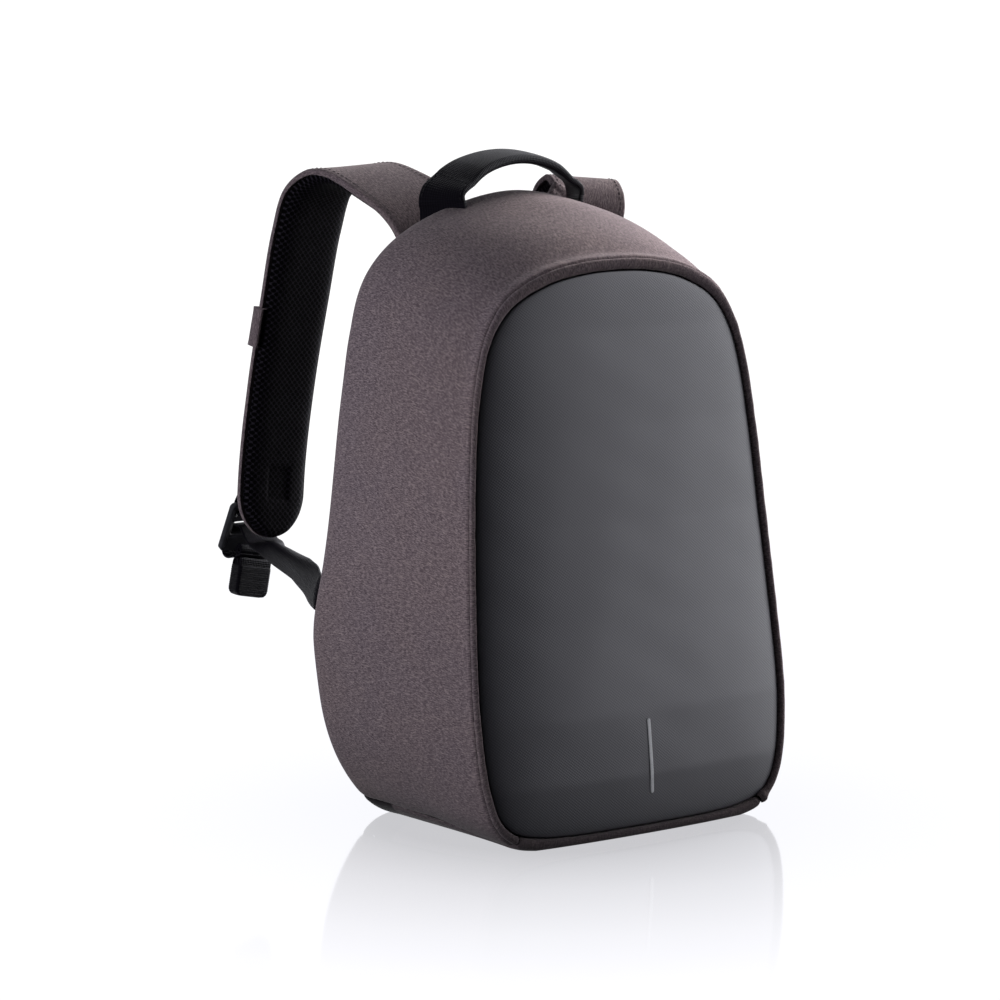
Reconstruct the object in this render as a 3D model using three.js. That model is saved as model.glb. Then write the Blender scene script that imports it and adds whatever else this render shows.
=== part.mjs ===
// A day backpack that stands on its base: a soft shell round a domed front panel, a padded back with its
// zip against the wearer, a carry handle, and two padded shoulder straps with their adjusters.
// Millimetres. +X runs from the left side to the right, +Y towards the wearer, +Z up. The origin is on the
// floor, in the middle of the base.
import * as THREE from "three";

// Driving dimensions of the bag
const BAG_HEIGHT = 402;
const BAG_WIDTH = 294;
const BACK_DEPTH = 75; // origin to the back edge, at the base
const BACK_LEAN = 18; // how far the back edge comes forward at the top
const PANEL_WIDTH = 244;
const PANEL_HEIGHT = 352;
const PANEL_BASE = 6.2; // height of the front panel's lower edge
const FRONT_DEPTH = 84.5; // origin to the panel's edge, at the base
const FRONT_LEAN = 33; // how far the panel's edge goes back at the top
const FRONT_BOW = 7.5; // how far the front stands forward in the middle of its width
const PANEL_DOME = 6.5; // how far the panel bulges out of its edge
const RIM_WIDTH = 6.8; // from the panel's edge to the seam of the shell, at the sides
const RIM_TOP = 9.5; // the same, at the top
const SEAM_WIDTH = PANEL_WIDTH + 2 * RIM_WIDTH;
const SEAM_HEIGHT = PANEL_BASE + PANEL_HEIGHT + RIM_TOP;

// Thicknesses and clearances
const CLOTH = 2.4;
const RIM_CLOTH = 1.8;
const PANEL_SKIN = 3;
const BACK_PAD = 8;
const GAP = 0.4; // between neighbouring pieces
const SEAM_GAP = 0.9; // where two cloth walls meet edge to edge
const CREASE_GAP = 1.4; // where the shell's cloth turns back from the rim
const PANEL_GAP = 0.8; // round the front panel
const LIP_DEPTH = 6; // how far the rim and the panel turn in at their joint

// Back: the plain ring between the shell's edge and the padded panel
const GUSSET_WIDTH = 11;
const GUSSET_BULGE = 1.6;
const BACK_SWELL = 5.4; // how far the padded back stands behind the back edge

// Reflective bar on the front panel
const BAR_HEIGHT = 48;
const BAR_WIDTH = 2.4;
const BAR_THICKNESS = 0.6;
const BAR_BASE = 29;
const BAR_SHIFT = 0.8; // its upper end, right of the middle
const BAR_LEAN = 2.4; // how much further right its lower end is

// Straps
const STRAP_HALF = 27;
const STRAP_TAPER = 2.5; // how much less the half width is at the free end
const STRAP_GAP = 1.1; // between a strap's pad and its cover
const LEFT_REACH = 130; // how far a strap's route stands behind its seat on the back
const RIGHT_REACH = 48;
const PAD_THICKNESS = 9;
const COVER_THICKNESS = 2;
const STRAP_END_RADIUS = 30;
const BAND_HEIGHT = 26; // the fabric band on the left strap
const BAND_TOP = 319;
const BAND_THICKNESS = 1.6;
const WEB_HALF = 12.5;
const WEB_THICKNESS = 1.6;
const LEFT_WEB_UP = 0.3756; // share of the bag's height at which the webbing leaves the back seam
const RIGHT_WEB_UP = 0.2948;
const WEB_INSET = 7.3; // from the shell's outline
const WEB_SINK = 1.05; // its end in front of the back edge, over the shell's rounding
const HANDLE_THICKNESS = 3;
const HANDLE_SPAN = 112; // between the middles of its ends
const HANDLE_INSET = 7; // in front of the back edge
const HANDLE_RISE = 31; // from its seats to its top
const HANDLE_SEAT = 1; // its ends' middles over the shell

// Adjuster: a frame with a slot for the strap's anchor and one for the webbing
const LOCK_WIDTH = 36;
const LOCK_LENGTH = 38;
const LOCK_THICKNESS = 4.5;
const LOCK_BAR = 4.4;
const LOCK_SLOT_WIDTH = 2 * WEB_HALF + 1.4;
const ANCHOR_SLOT = 5.2;
const WEB_SLOT = 10;
const LOCK_LEAN = 28; // degrees away from upright
const TAIL_DEPTH = 10.5;
const TAIL_HEIGHT = 36;
const KEEPER_THICKNESS = 1.2;
const KEEPER_SHARE = 0.66; // share of the tail's height that the elastic keeper covers

// How finely the solids are faceted
const LOOP_STEPS = 64;
const BASE_STEPS = 6; // how many of them, each way from the bottom, belong to the base panel
const CURVE_POINTS = 600;

// Front view outlines: up is a share of the height, out a share of the half width
const PANEL_OUTLINE = [
  { up: 0, out: 0 }, { up: 0, out: 0.4 }, { up: 0.006, out: 0.68 }, { up: 0.02, out: 0.83 },
  { up: 0.049, out: 0.915 }, { up: 0.097, out: 0.963 }, { up: 0.152, out: 0.988 }, { up: 0.233, out: 1 },
  { up: 0.33, out: 0.992 }, { up: 0.44, out: 0.973 }, { up: 0.557, out: 0.949 }, { up: 0.693, out: 0.915 },
  { up: 0.801, out: 0.869 }, { up: 0.882, out: 0.8 }, { up: 0.94, out: 0.675 }, { up: 0.979, out: 0.455 },
  { up: 0.996, out: 0.22 }, { up: 1, out: 0 },
];
const SEAM_OUTLINE = [
  { up: 0, out: 0 }, { up: 0, out: 0.38 }, { up: 0, out: 0.65 }, { up: 0.012, out: 0.79 },
  { up: 0.045, out: 0.9 }, { up: 0.097, out: 0.962 }, { up: 0.16, out: 0.99 }, { up: 0.235, out: 1 },
  { up: 0.33, out: 0.992 }, { up: 0.44, out: 0.973 }, { up: 0.557, out: 0.949 }, { up: 0.693, out: 0.915 },
  { up: 0.801, out: 0.869 }, { up: 0.882, out: 0.795 }, { up: 0.94, out: 0.675 }, { up: 0.979, out: 0.46 },
  { up: 0.996, out: 0.23 }, { up: 1, out: 0 },
];
const BODY_OUTLINE = [
  { up: 0, out: 0 }, { up: 0, out: 0.32 }, { up: 0, out: 0.58 }, { up: 0.012, out: 0.68 },
  { up: 0.04, out: 0.765 }, { up: 0.0925, out: 0.864 }, { up: 0.16, out: 0.94 }, { up: 0.24, out: 0.984 },
  { up: 0.32, out: 1 }, { up: 0.42, out: 0.962 }, { up: 0.56, out: 0.924 }, { up: 0.7, out: 0.893 },
  { up: 0.78, out: 0.87 }, { up: 0.845, out: 0.826 }, { up: 0.885, out: 0.768 }, { up: 0.92, out: 0.678 },
  { up: 0.9475, out: 0.57 }, { up: 0.97, out: 0.44 }, { up: 0.988, out: 0.275 }, { up: 0.997, out: 0.13 },
  { up: 1, out: 0 },
];
// Side view: how much of each lean is reached at a share of the bag's height
const FRONT_SIDE = [
  { up: 0, share: 0 }, { up: 0.1, share: 0.03 }, { up: 0.2, share: 0.14 }, { up: 0.35, share: 0.38 },
  { up: 0.5, share: 0.6 }, { up: 0.65, share: 0.78 }, { up: 0.8, share: 0.92 }, { up: 1, share: 1 },
];
const BACK_SIDE = [
  { up: 0, share: 0 }, { up: 0.3, share: 0.04 }, { up: 0.45, share: 0.3 }, { up: 0.65, share: 0.62 },
  { up: 0.8, share: 0.9 }, { up: 1, share: 1 },
];
// The rim's roll: out is a share of the way from the panel's edge to the seam, fore is millimetres forward.
// The rim's own cloth ends in the crease, and from there the shell's cloth turns back.
const RIM_ROLL = [
  { out: 0, fore: -LIP_DEPTH }, { out: 0, fore: 0 }, { out: 0.18, fore: 2 }, { out: 0.48, fore: 2.4 },
  { out: 0.78, fore: 0.8 }, { out: 0.96, fore: -3.2 }, { out: 1, fore: -8.5 },
];
const CREASE_ROW = 4; // which of these rows is the crease
// The shell from the seam to the back edge: depth is a share of the way back, swell a share of the way from
// the seam's outline to the body's, inset is millimetres in from that outline
const SHELL_ROWS = [
  { depth: 0, swell: 0, inset: 0 }, { depth: 0.08, swell: 0.16, inset: 0 },
  { depth: 0.2, swell: 0.36, inset: 0 }, { depth: 0.4, swell: 0.64, inset: 0 },
  { depth: 0.6, swell: 0.85, inset: 0 }, { depth: 0.78, swell: 0.97, inset: 0 },
  { depth: 0.91, swell: 1, inset: 0 }, { depth: 0.965, swell: 1, inset: 2.6 },
  { depth: 0.99, swell: 1, inset: 7.5 }, { depth: 1, swell: 1, inset: 14 },
];
const SHELL_EDGE = SHELL_ROWS.at(-1).inset;

// Routes of the soft straps, chosen by hand. Each point lies between a strap's pad and its cover: out is a
// share of the bag's half width, up of its height, behind of the strap's reach, and across is the direction
// of the width, towards +X.
const LEFT_STRAP = [
  { out: -0.299, behind: 0, up: 0.8209, across: [1, 0, 0] },
  { out: -0.303, behind: 0.004, up: 0.8756, across: [1, 0, 0.08] },
  { out: -0.31, behind: 0.037, up: 0.9353, across: [0.97, 0, 0.24] },
  { out: -0.32, behind: 0.148, up: 0.9751, across: [0.97, 0, 0.24] },
  { out: -0.344, behind: 0.357, up: 1.0062, across: [0.98, 0, 0.17] },
  { out: -0.371, behind: 0.595, up: 1.0274, across: [1, 0, 0.07] },
  { out: -0.395, behind: 0.742, up: 1.0199, across: [1, 0, 0.01] },
  { out: -0.422, behind: 0.864, up: 0.9888, across: [1, 0, 0] },
  { out: -0.449, behind: 0.921, up: 0.9229, across: [1, 0, 0] },
  { out: -0.483, behind: 0.967, up: 0.8109, across: [1, 0, 0] },
  { out: -0.517, behind: 1.002, up: 0.6716, across: [1, 0, 0] },
  { out: -0.551, behind: 1.006, up: 0.5348, across: [1, 0, 0] },
  { out: -0.582, behind: 0.965, up: 0.408, across: [1, 0, 0] },
];
const RIGHT_STRAP = [
  { out: 0.313, behind: 0, up: 0.8209, across: [1, 0, 0] },
  { out: 0.34, behind: 0.013, up: 0.8706, across: [1, -0.03, -0.1] },
  { out: 0.418, behind: 0.06, up: 0.9179, across: [0.97, -0.1, -0.15] },
  { out: 0.512, behind: 0.085, up: 0.9507, across: [0.97, -0.13, -0.16] },
  { out: 0.568, behind: 0.145, up: 0.9732, across: [0.97, -0.12, -0.15] },
  { out: 0.598, behind: 0.285, up: 0.9925, across: [0.98, -0.11, -0.12] },
  { out: 0.619, behind: 0.487, up: 1.0032, across: [0.99, -0.1, -0.09] },
  { out: 0.632, behind: 0.736, up: 0.9938, across: [0.99, -0.1, -0.05] },
  { out: 0.643, behind: 0.918, up: 0.9652, across: [1, -0.08, -0.02] },
  { out: 0.654, behind: 1.022, up: 0.908, across: [1, -0.05, 0] },
  { out: 0.655, behind: 1.072, up: 0.796, across: [1, 0, 0] },
  { out: 0.654, behind: 1.057, up: 0.6219, across: [1, 0, 0] },
  { out: 0.646, behind: 1.057, up: 0.4478, across: [1, 0, 0] },
  { out: 0.633, behind: 1.001, up: 0.2786, across: [1, 0, 0] },
];
// The webbing from the back seam to the adjuster, chosen by hand: out and behind are shares of the way, and
// rise is millimetres over the straight line
const LEFT_WEB = [
  { out: 0, behind: 0, rise: 0, across: [0.2, 0, 0.98] },
  { out: 0.003, behind: 0.02, rise: 0, across: [0.2, 0, 0.98] },
  { out: 0.036, behind: 0.044, rise: -0.1, across: [0.24, -0.05, 0.97] },
  { out: 0.195, behind: 0.153, rise: 0.8, across: [0.45, 0.12, 0.88] },
  { out: 0.354, behind: 0.285, rise: -0.5, across: [0.63, 0.3, 0.7] },
  { out: 0.543, behind: 0.449, rise: -2.3, across: [0.78, 0.22, 0.59] },
  { out: 0.722, behind: 0.623, rise: -3.7, across: [0.9, 0.16, 0.4] },
  { out: 0.881, behind: 0.759, rise: -5.3, across: [0.97, 0.15, 0.18] },
  { out: 0.988, behind: 0.884, rise: -5.4, across: [1, 0, 0] },
];
const RIGHT_WEB = [
  { out: 0, behind: 0, rise: 0, across: [0.2, 0, -0.98] },
  { out: 0.003, behind: 0.032, rise: 0, across: [0.2, 0, -0.98] },
  { out: 0.043, behind: 0.074, rise: 0.1, across: [0.24, 0.05, -0.97] },
  { out: 0.191, behind: 0.226, rise: -2.8, across: [0.45, -0.12, -0.88] },
  { out: 0.383, behind: 0.391, rise: -6.1, across: [0.63, -0.25, -0.7] },
  { out: 0.596, behind: 0.544, rise: -9.5, across: [0.8, -0.2, -0.5] },
  { out: 0.809, behind: 0.665, rise: -10.8, across: [0.95, -0.1, -0.25] },
  { out: 0.957, behind: 0.773, rise: -9.2, across: [1, 0, 0] },
];
// Round the adjuster, from its middle: the webbing round the lower bar, and the anchor from the strap
const WEB_LOOP = [
  { at: [0, -8.5, 0.8], across: [1, 0, 0] },
  { at: [0, -1, 1.6], across: [1, 0, 0] },
  { at: [0, 8.5, -3], across: [1, 0, 0] },
  { at: [0, 13.2, -14.6], across: [1, 0, 0] },
  { at: [0.2, 11.4, -20.6], across: [1, 0, 0] },
  { at: [0.4, 7, -22], across: [1, 0, 0] },
  { at: [0.5, 2.4, -20.8], across: [1, 0, 0] },
];
const ANCHOR_LOOP = [
  { at: [0, -19.4, 52], across: [1, 0, 0] },
  { at: [0, -19.4, 34], across: [1, 0, 0] },
  { at: [0, -14.6, 18], across: [1, 0, 0] },
  { at: [0, -8.6, 9], across: [1, 0, 0] },
  { at: [0, -5, 10.2], across: [1, 0, 0] },
  { at: [0, -3.2, 15.8], across: [1, 0, 0] },
  { at: [0, -6.2, 21], across: [1, 0, 0] },
  { at: [0, -14.2, 29.5], across: [1, 0, 0] },
];
const LOCK_RISE = 5.5; // from the strap's end to the adjuster's middle
const ANCHOR_SEAT = [26, 64]; // the stretch before the strap's end that the anchor is sewn to
const TAIL_PLACE = [0.5, -3.5, -30.5]; // its middle, from the adjuster's
const TAIL_TURN = 11; // degrees that the folded tail hangs askew, seen from the front

// Left handle half, from its seat to the top: out is a share of half the span, up of the rise, half the half
// width, and thick a share of HANDLE_THICKNESS
const HANDLE = [
  { out: -1, up: 0, across: [0.34, -0.86, 0.2], half: 17.4, thick: 1 },
  { out: -1.01, up: 0.155, across: [0.38, -0.88, 0.16], half: 17, thick: 1 },
  { out: -0.94, up: 0.345, across: [0.42, -0.9, 0.06], half: 16.5, thick: 1 },
  { out: -0.765, up: 0.59, across: [0.42, -0.9, -0.04], half: 16, thick: 1.4 },
  { out: -0.58, up: 0.787, across: [0.3, -0.95, -0.08], half: 15.5, thick: 1.9 },
  { out: -0.304, up: 0.942, across: [0.12, -0.98, -0.1], half: 15, thick: 2 },
  { out: 0, up: 1, across: [0, -0.99, -0.1], half: 15, thick: 2 },
];

// Linear interpolation in a table that has a column up and a column share
function shareAt(rows, up) {
  const at = THREE.MathUtils.clamp(up, 0, 1);
  const next = Math.max(1, rows.findIndex((row) => row.up >= at));
  const [a, b] = [rows[next - 1], rows[next]];
  const local = (at - a.up) / (b.up - a.up);
  return THREE.MathUtils.lerp(a.share, b.share, THREE.MathUtils.clamp(local, 0, 1));
}

// The closed outline of a table in the XZ plane, from the bottom's middle round by +X, as a function of the
// share of its length. It never dips below the floor.
function outline(rows, width, height, base) {
  const side = rows.map(({ up, out }) => new THREE.Vector3((out * width) / 2, 0, base + up * height));
  const other = side.slice(1, -1).reverse().map((p) => new THREE.Vector3(-p.x, 0, p.z));
  const curve = new THREE.CatmullRomCurve3([...side, ...other], true, "centripetal");
  curve.arcLengthDivisions = CURVE_POINTS;
  return (share) => {
    const wrapped = ((share % 1) + 1) % 1;
    const point = curve.getPointAt(wrapped);
    const along = curve.getTangentAt(wrapped);
    point.z = Math.max(point.z, base);
    return { point, inward: new THREE.Vector3(-along.z, 0, along.x) };
  };
}

const panelOutline = outline(PANEL_OUTLINE, PANEL_WIDTH, PANEL_HEIGHT, PANEL_BASE);
const seamOutline = outline(SEAM_OUTLINE, SEAM_WIDTH, SEAM_HEIGHT, 0);
const bodyOutline = outline(BODY_OUTLINE, BAG_WIDTH, BAG_HEIGHT, 0);

// Depth of the front's edge surface at a point of the front view, and of the back edge at a height
function frontAt(x, z) {
  const bow = FRONT_BOW * (1 - (2 * x / PANEL_WIDTH) ** 2);
  return -FRONT_DEPTH + FRONT_LEAN * shareAt(FRONT_SIDE, z / BAG_HEIGHT) - bow;
}
function backAt(z) {
  return BACK_DEPTH - BACK_LEAN * shareAt(BACK_SIDE, z / BAG_HEIGHT);
}

// Half width of the body's front view at a height, and its height at a half width in the upper half
function bodySide(z) {
  const rows = BODY_OUTLINE.map(({ up, out }) => ({ up, share: out }));
  return (shareAt(rows, z / BAG_HEIGHT) * BAG_WIDTH) / 2;
}
function bodyTop(x) {
  let [low, high] = [0.25, 0.5];
  for (let i = 0; i < 30; i++) {
    const middle = (low + high) / 2;
    if (bodyOutline(middle).point.x > x) low = middle;
    else high = middle;
  }
  return bodyOutline(low).point.z;
}

// A point of the rim's roll and of the shell
function rimPoint(share, { out, fore }) {
  const edge = panelOutline(share).point;
  const seam = seamOutline(share).point;
  const at = edge.clone().lerp(seam, out);
  at.y = frontAt(edge.x, edge.z) - fore;
  return at;
}
function shellPoint(share, { depth, swell, inset }) {
  const front = rimPoint(share, RIM_ROLL.at(-1));
  const body = bodyOutline(share);
  const at = front.clone().lerp(body.point, swell);
  at.addScaledVector(body.inward, inset);
  at.y = THREE.MathUtils.lerp(front.y, backAt(body.point.z), depth);
  return at;
}
// A point of the back, inset from the shell's outline and a given way behind the back edge
function backPoint(share, inset, behind) {
  const body = bodyOutline(share);
  const at = body.point.clone().addScaledVector(body.inward, inset);
  at.y = backAt(body.point.z) + behind;
  return at;
}

// Shares of the loop between two ends
function spread(from, to, steps) {
  return Array.from({ length: steps + 1 }, (_, i) => from + ((to - from) * i) / steps);
}

// A geometry from vertices and quads or triangles. A quad is split from its first corner to its third.
function meshOf(points, faces) {
  const split = ([a, b, c, d]) => [a, b, c, a, c, d];
  const geometry = new THREE.BufferGeometry();
  const flat = points.flatMap((p) => [p.x, p.y, p.z]);
  geometry.setAttribute("position", new THREE.Float32BufferAttribute(flat, 3));
  geometry.setIndex(faces.flatMap((face) => (face.length === 4 ? split(face) : face)));
  geometry.computeVertexNormals();
  return geometry;
}

// A closed wall from rows of outer points, the rows in order from the front to the back, each in the loop's
// order. The wall grows inwards. round says that the rows close on themselves, and capped that the last row
// closes to a point.
function wall(rows, thickness, { round = false, capped = false } = {}) {
  const count = rows[0].length;
  const wrap = (j) => (round ? (j + count) % count : THREE.MathUtils.clamp(j, 0, count - 1));
  const inner = rows.map((row, i) => row.map((p, j) => {
    const before = rows[Math.max(i - 1, 0)][j];
    const after = rows[Math.min(i + 1, rows.length - 1)][j];
    const along = row[wrap(j + 1)].clone().sub(row[wrap(j - 1)]);
    const normal = after.clone().sub(before).cross(along).normalize();
    return p.clone().addScaledVector(normal, -thickness);
  }));
  const points = [...rows.flat(), ...inner.flat()];
  const layer = rows.length * count;
  const outerAt = (i, j) => i * count + wrap(j);
  const innerAt = (i, j) => layer + i * count + wrap(j);
  const faces = [];
  const last = rows.length - 1;
  const across = round ? count : count - 1;
  for (let j = 0; j < across; j++) {
    for (let i = 0; i < last; i++) {
      faces.push([outerAt(i, j), outerAt(i + 1, j), outerAt(i + 1, j + 1), outerAt(i, j + 1)]);
      faces.push([innerAt(i, j), innerAt(i, j + 1), innerAt(i + 1, j + 1), innerAt(i + 1, j)]);
    }
    faces.push([outerAt(0, j), outerAt(0, j + 1), innerAt(0, j + 1), innerAt(0, j)]);
    if (!capped) faces.push([outerAt(last, j), innerAt(last, j), innerAt(last, j + 1), outerAt(last, j + 1)]);
  }
  if (!round) {
    const end = count - 1;
    for (let i = 0; i < last; i++) {
      faces.push([outerAt(i, 0), innerAt(i, 0), innerAt(i + 1, 0), outerAt(i + 1, 0)]);
      faces.push([outerAt(i, end), outerAt(i + 1, end), innerAt(i + 1, end), innerAt(i, end)]);
    }
  }
  if (capped) {
    const middle = (row) => row.reduce((sum, p) => sum.add(p), new THREE.Vector3()).divideScalar(count);
    const top = points.push(middle(rows[last])) - 1;
    const under = points.push(middle(inner[last])) - 1;
    for (let j = 0; j < count; j++) {
      faces.push([outerAt(last, j + 1), outerAt(last, j), top]);
      faces.push([innerAt(last, j), innerAt(last, j + 1), under]);
    }
  }
  return meshOf(points, faces);
}

// A closed solid through rings, each in the loop's order, its first and last ring closed to a point
function closedRings(rings) {
  const count = rings[0].length;
  const at = (i, j) => i * count + (j % count);
  const middle = (ring) => ring.reduce((sum, p) => sum.add(p), new THREE.Vector3()).divideScalar(count);
  const last = rings.length - 1;
  const points = [...rings.flat(), middle(rings[0]), middle(rings[last])];
  const [first, end] = [points.length - 2, points.length - 1];
  const faces = [];
  for (let j = 0; j < count; j++) {
    for (let i = 0; i < last; i++) faces.push([at(i, j), at(i + 1, j), at(i + 1, j + 1), at(i, j + 1)]);
    faces.push([at(0, j), at(0, j + 1), first]);
    faces.push([at(last, j + 1), at(last, j), end]);
  }
  return meshOf(points, faces);
}

// Places along a route table: position, tangent, direction of the width and of the outer face, evenly spaced
function places(rows, steps) {
  const points = rows.map(({ at }) => new THREE.Vector3(...at));
  const curve = new THREE.CatmullRomCurve3(points, false, "centripetal");
  curve.arcLengthDivisions = CURVE_POINTS;
  const length = curve.getLength();
  const between = (key, u) => {
    const spot = curve.getUtoTmapping(u) * (rows.length - 1);
    const i = Math.min(Math.floor(spot), rows.length - 2);
    return [rows[i][key], rows[i + 1][key], spot - i];
  };
  return spread(0, 1, steps).map((u) => {
    const at = curve.getPointAt(u);
    const along = curve.getTangentAt(u);
    const [a, b, k] = between("across", u);
    const across = new THREE.Vector3(...a).lerp(new THREE.Vector3(...b), k);
    across.addScaledVector(along, -across.dot(along)).normalize();
    const value = (key) => {
      const [from, to, share] = between(key, u);
      return THREE.MathUtils.lerp(from, to, share);
    };
    return { at, along, across, outer: across.clone().cross(along), distance: u * length, length, value };
  });
}

// A solid swept through places: section(place) gives the corners as [across, outer] pairs, anticlockwise
// when seen against the route. Its two sides are split along the same diagonals, so that one band lies
// evenly on the next.
function sweep(stations, section) {
  const corners = stations.map((place) => section(place));
  const rings = stations.map((place, i) => corners[i].map(([a, n]) =>
    place.at.clone().addScaledVector(place.across, a).addScaledVector(place.outer, n)));
  const count = rings[0].length;
  const faces = [];
  for (let i = 0; i < rings.length - 1; i++) {
    for (let j = 0; j < count; j++) {
      const next = (j + 1) % count;
      const quad = [i * count + j, (i + 1) * count + j, (i + 1) * count + next, i * count + next];
      const rising = corners[i][j][0] <= corners[i][next][0];
      faces.push(rising ? quad : [...quad.slice(1), quad[0]]);
    }
  }
  const end = (rings.length - 1) * count;
  for (let j = 1; j < count - 1; j++) {
    faces.push([0, j, j + 1]);
    faces.push([end, end + j + 1, end + j]);
  }
  return meshOf(rings.flat(), faces);
}

// Corners of a flat band between two heights over the route, with its edges chamfered
function band(half, low, high, chamfer = (high - low) / 3) {
  const side = half - chamfer;
  return [
    [-half, low + chamfer], [-side, low], [0, low], [side, low], [half, low + chamfer],
    [half, high - chamfer], [side, high], [0, high], [-side, high], [-half, high - chamfer],
  ];
}

// Half width of a strap that tapers a little and ends in a rounded end
function roundedHalf({ distance, length }, start) {
  const left = Math.max(length - distance, 0);
  const half = start - (STRAP_TAPER * distance) / length;
  if (left >= STRAP_END_RADIUS) return half;
  const reach = 1 - left / STRAP_END_RADIUS;
  return half * Math.sqrt(Math.max(1 - reach * reach, 0.06));
}

const colours = {
  fabric: { color: 0x655b60, roughness: 0.9, metalness: 0 },
  panel: { color: 0x2c2d31, roughness: 0.5, metalness: 0 },
  mesh: { color: 0x17171a, roughness: 0.95, metalness: 0 },
  webbing: { color: 0x1c1c1f, roughness: 0.8, metalness: 0 },
  plastic: { color: 0x222226, roughness: 0.4, metalness: 0 },
  reflective: { color: 0xb4b7bb, roughness: 0.35, metalness: 0 },
};

const bag = new THREE.Group();

function add(name, geometry, material) {
  const mesh = new THREE.Mesh(geometry, new THREE.MeshStandardMaterial(colours[material]));
  mesh.name = name;
  bag.add(mesh);
  return mesh;
}

// Shell, rim and base: three cloth walls on one surface, parted at their seams
function buildShell() {
  const share = (step) => step / LOOP_STEPS;
  const parting = SEAM_GAP / (BAG_WIDTH + BAG_HEIGHT);
  const sides = spread(share(BASE_STEPS), 1 - share(BASE_STEPS), LOOP_STEPS - 2 * BASE_STEPS);
  sides[0] += parting;
  sides[sides.length - 1] -= parting;
  const roll = RIM_ROLL.slice(0, CREASE_ROW + 1).map((row) => sides.map((at) => rimPoint(at, row)));
  add("rim_binding", wall(roll, RIM_CLOTH), "fabric");

  const turn = RIM_ROLL.slice(CREASE_ROW).map((row) => sides.map((at) => rimPoint(at, row)));
  turn[0].forEach((p) => { p.y += CREASE_GAP; });
  const rows = SHELL_ROWS.slice(1).map((row) => sides.map((at) => shellPoint(at, row)));
  add("side_shell", wall([...turn, ...rows], CLOTH), "fabric");

  const bottom = spread(-share(BASE_STEPS), share(BASE_STEPS), 2 * BASE_STEPS);
  const under = [
    ...RIM_ROLL.map((row) => bottom.map((at) => rimPoint(at, row))),
    ...SHELL_ROWS.slice(1).map((row) => bottom.map((at) => shellPoint(at, row))),
  ];
  add("base_panel", wall(under, RIM_CLOTH), "fabric");
}

// Front panel: a dome over its outline, turned in at the edge behind the rim
function buildFrontPanel() {
  const middle = new THREE.Vector3(0, 0, PANEL_BASE + PANEL_HEIGHT / 2);
  const loop = spread(0, 1, LOOP_STEPS).slice(0, -1).reverse();
  const ring = (radius, fore) => loop.map((share) => {
    const { point, inward } = panelOutline(share);
    const edge = point.clone().addScaledVector(inward, PANEL_GAP);
    const at = middle.clone().lerp(edge, radius);
    at.y = frontAt(at.x, at.z) - fore;
    return at;
  });
  const dome = (radius) => PANEL_DOME * (1 - radius ** 2.5) ** 0.6;
  const radii = [1, 0.985, 0.95, 0.87, 0.72, 0.5, 0.25];
  const rows = [ring(1, -LIP_DEPTH), ...radii.map((radius) => ring(radius, dome(radius)))];
  add("front_panel", wall(rows, PANEL_SKIN, { round: true, capped: true }), "panel");

  const surface = (z) => {
    const reach = Math.abs(z - middle.z) / (PANEL_HEIGHT / 2 - PANEL_GAP);
    return frontAt(0, z) - dome(reach);
  };
  const heights = spread(BAR_BASE, BAR_BASE + BAR_HEIGHT, 6);
  const lean = (z) => BAR_SHIFT + BAR_LEAN * (1 - (z - BAR_BASE) / BAR_HEIGHT);
  const bar = heights.map((z) => ({ at: [lean(z), surface(z), z], across: [1, 0, 0] }));
  add("reflective_bar", sweep(places(bar, 8), () =>
    band(BAR_WIDTH / 2, GAP, GAP + BAR_THICKNESS)), "reflective");
}

// Back: a plain ring inside the shell's edge, and the padded back panel
function buildBack() {
  const loop = spread(0, 1, LOOP_STEPS).slice(0, -1);
  const ring = (inset, behind) => loop.map((share) => backPoint(share, inset, behind));
  const gussetFrom = SHELL_EDGE + 1.2 * SEAM_GAP;
  const gussetTo = gussetFrom + GUSSET_WIDTH;
  const gusset = [ring(gussetFrom, -1.2), ring(gussetFrom + 0.6, 0.6),
    ring((gussetFrom + gussetTo) / 2, GUSSET_BULGE), ring(gussetTo, 0)];
  add("back_gusset", wall(gusset, RIM_CLOTH, { round: true }), "webbing");

  const panelFrom = gussetTo + SEAM_GAP;
  const middle = new THREE.Vector3(0, 0, BAG_HEIGHT / 2);
  const edges = ring(panelFrom, 0);
  const pad = (radius, behind) => edges.map((edge) => {
    const at = middle.clone().lerp(edge, radius);
    at.y = backAt(at.z) + behind;
    return at;
  });
  const front = BACK_SWELL - BACK_PAD;
  const swell = (share) => share * BACK_SWELL;
  const rows = [pad(0.35, front), pad(0.75, front), pad(1, front), pad(1, swell(0.18)),
    pad(0.985, swell(0.48)), pad(0.93, swell(0.81)), pad(0.75, swell(0.98)), pad(0.35, swell(1))];
  add("back_panel", closedRings(rows), "mesh");
}

// Handle: flat webbing at its ends, rolled up and thicker in the middle
function buildHandle() {
  const seat = bodyTop(HANDLE_SPAN / 2) + HANDLE_SEAT;
  const depth = backAt(BAG_HEIGHT) - HANDLE_INSET;
  const mirrored = HANDLE.slice(0, -1).reverse().map((row) => ({
    ...row,
    out: -row.out,
    across: [-row.across[0], row.across[1], row.across[2]],
  }));
  const rows = [...HANDLE, ...mirrored].map((row) => ({
    ...row,
    at: [(row.out * HANDLE_SPAN) / 2, depth, seat + row.up * HANDLE_RISE],
  }));
  const stations = places(rows, 30);
  add("handle", sweep(stations, (place) => {
    const thick = HANDLE_THICKNESS * place.value("thick");
    return band(place.value("half"), -thick / 2, thick / 2);
  }), "webbing");
}

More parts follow.
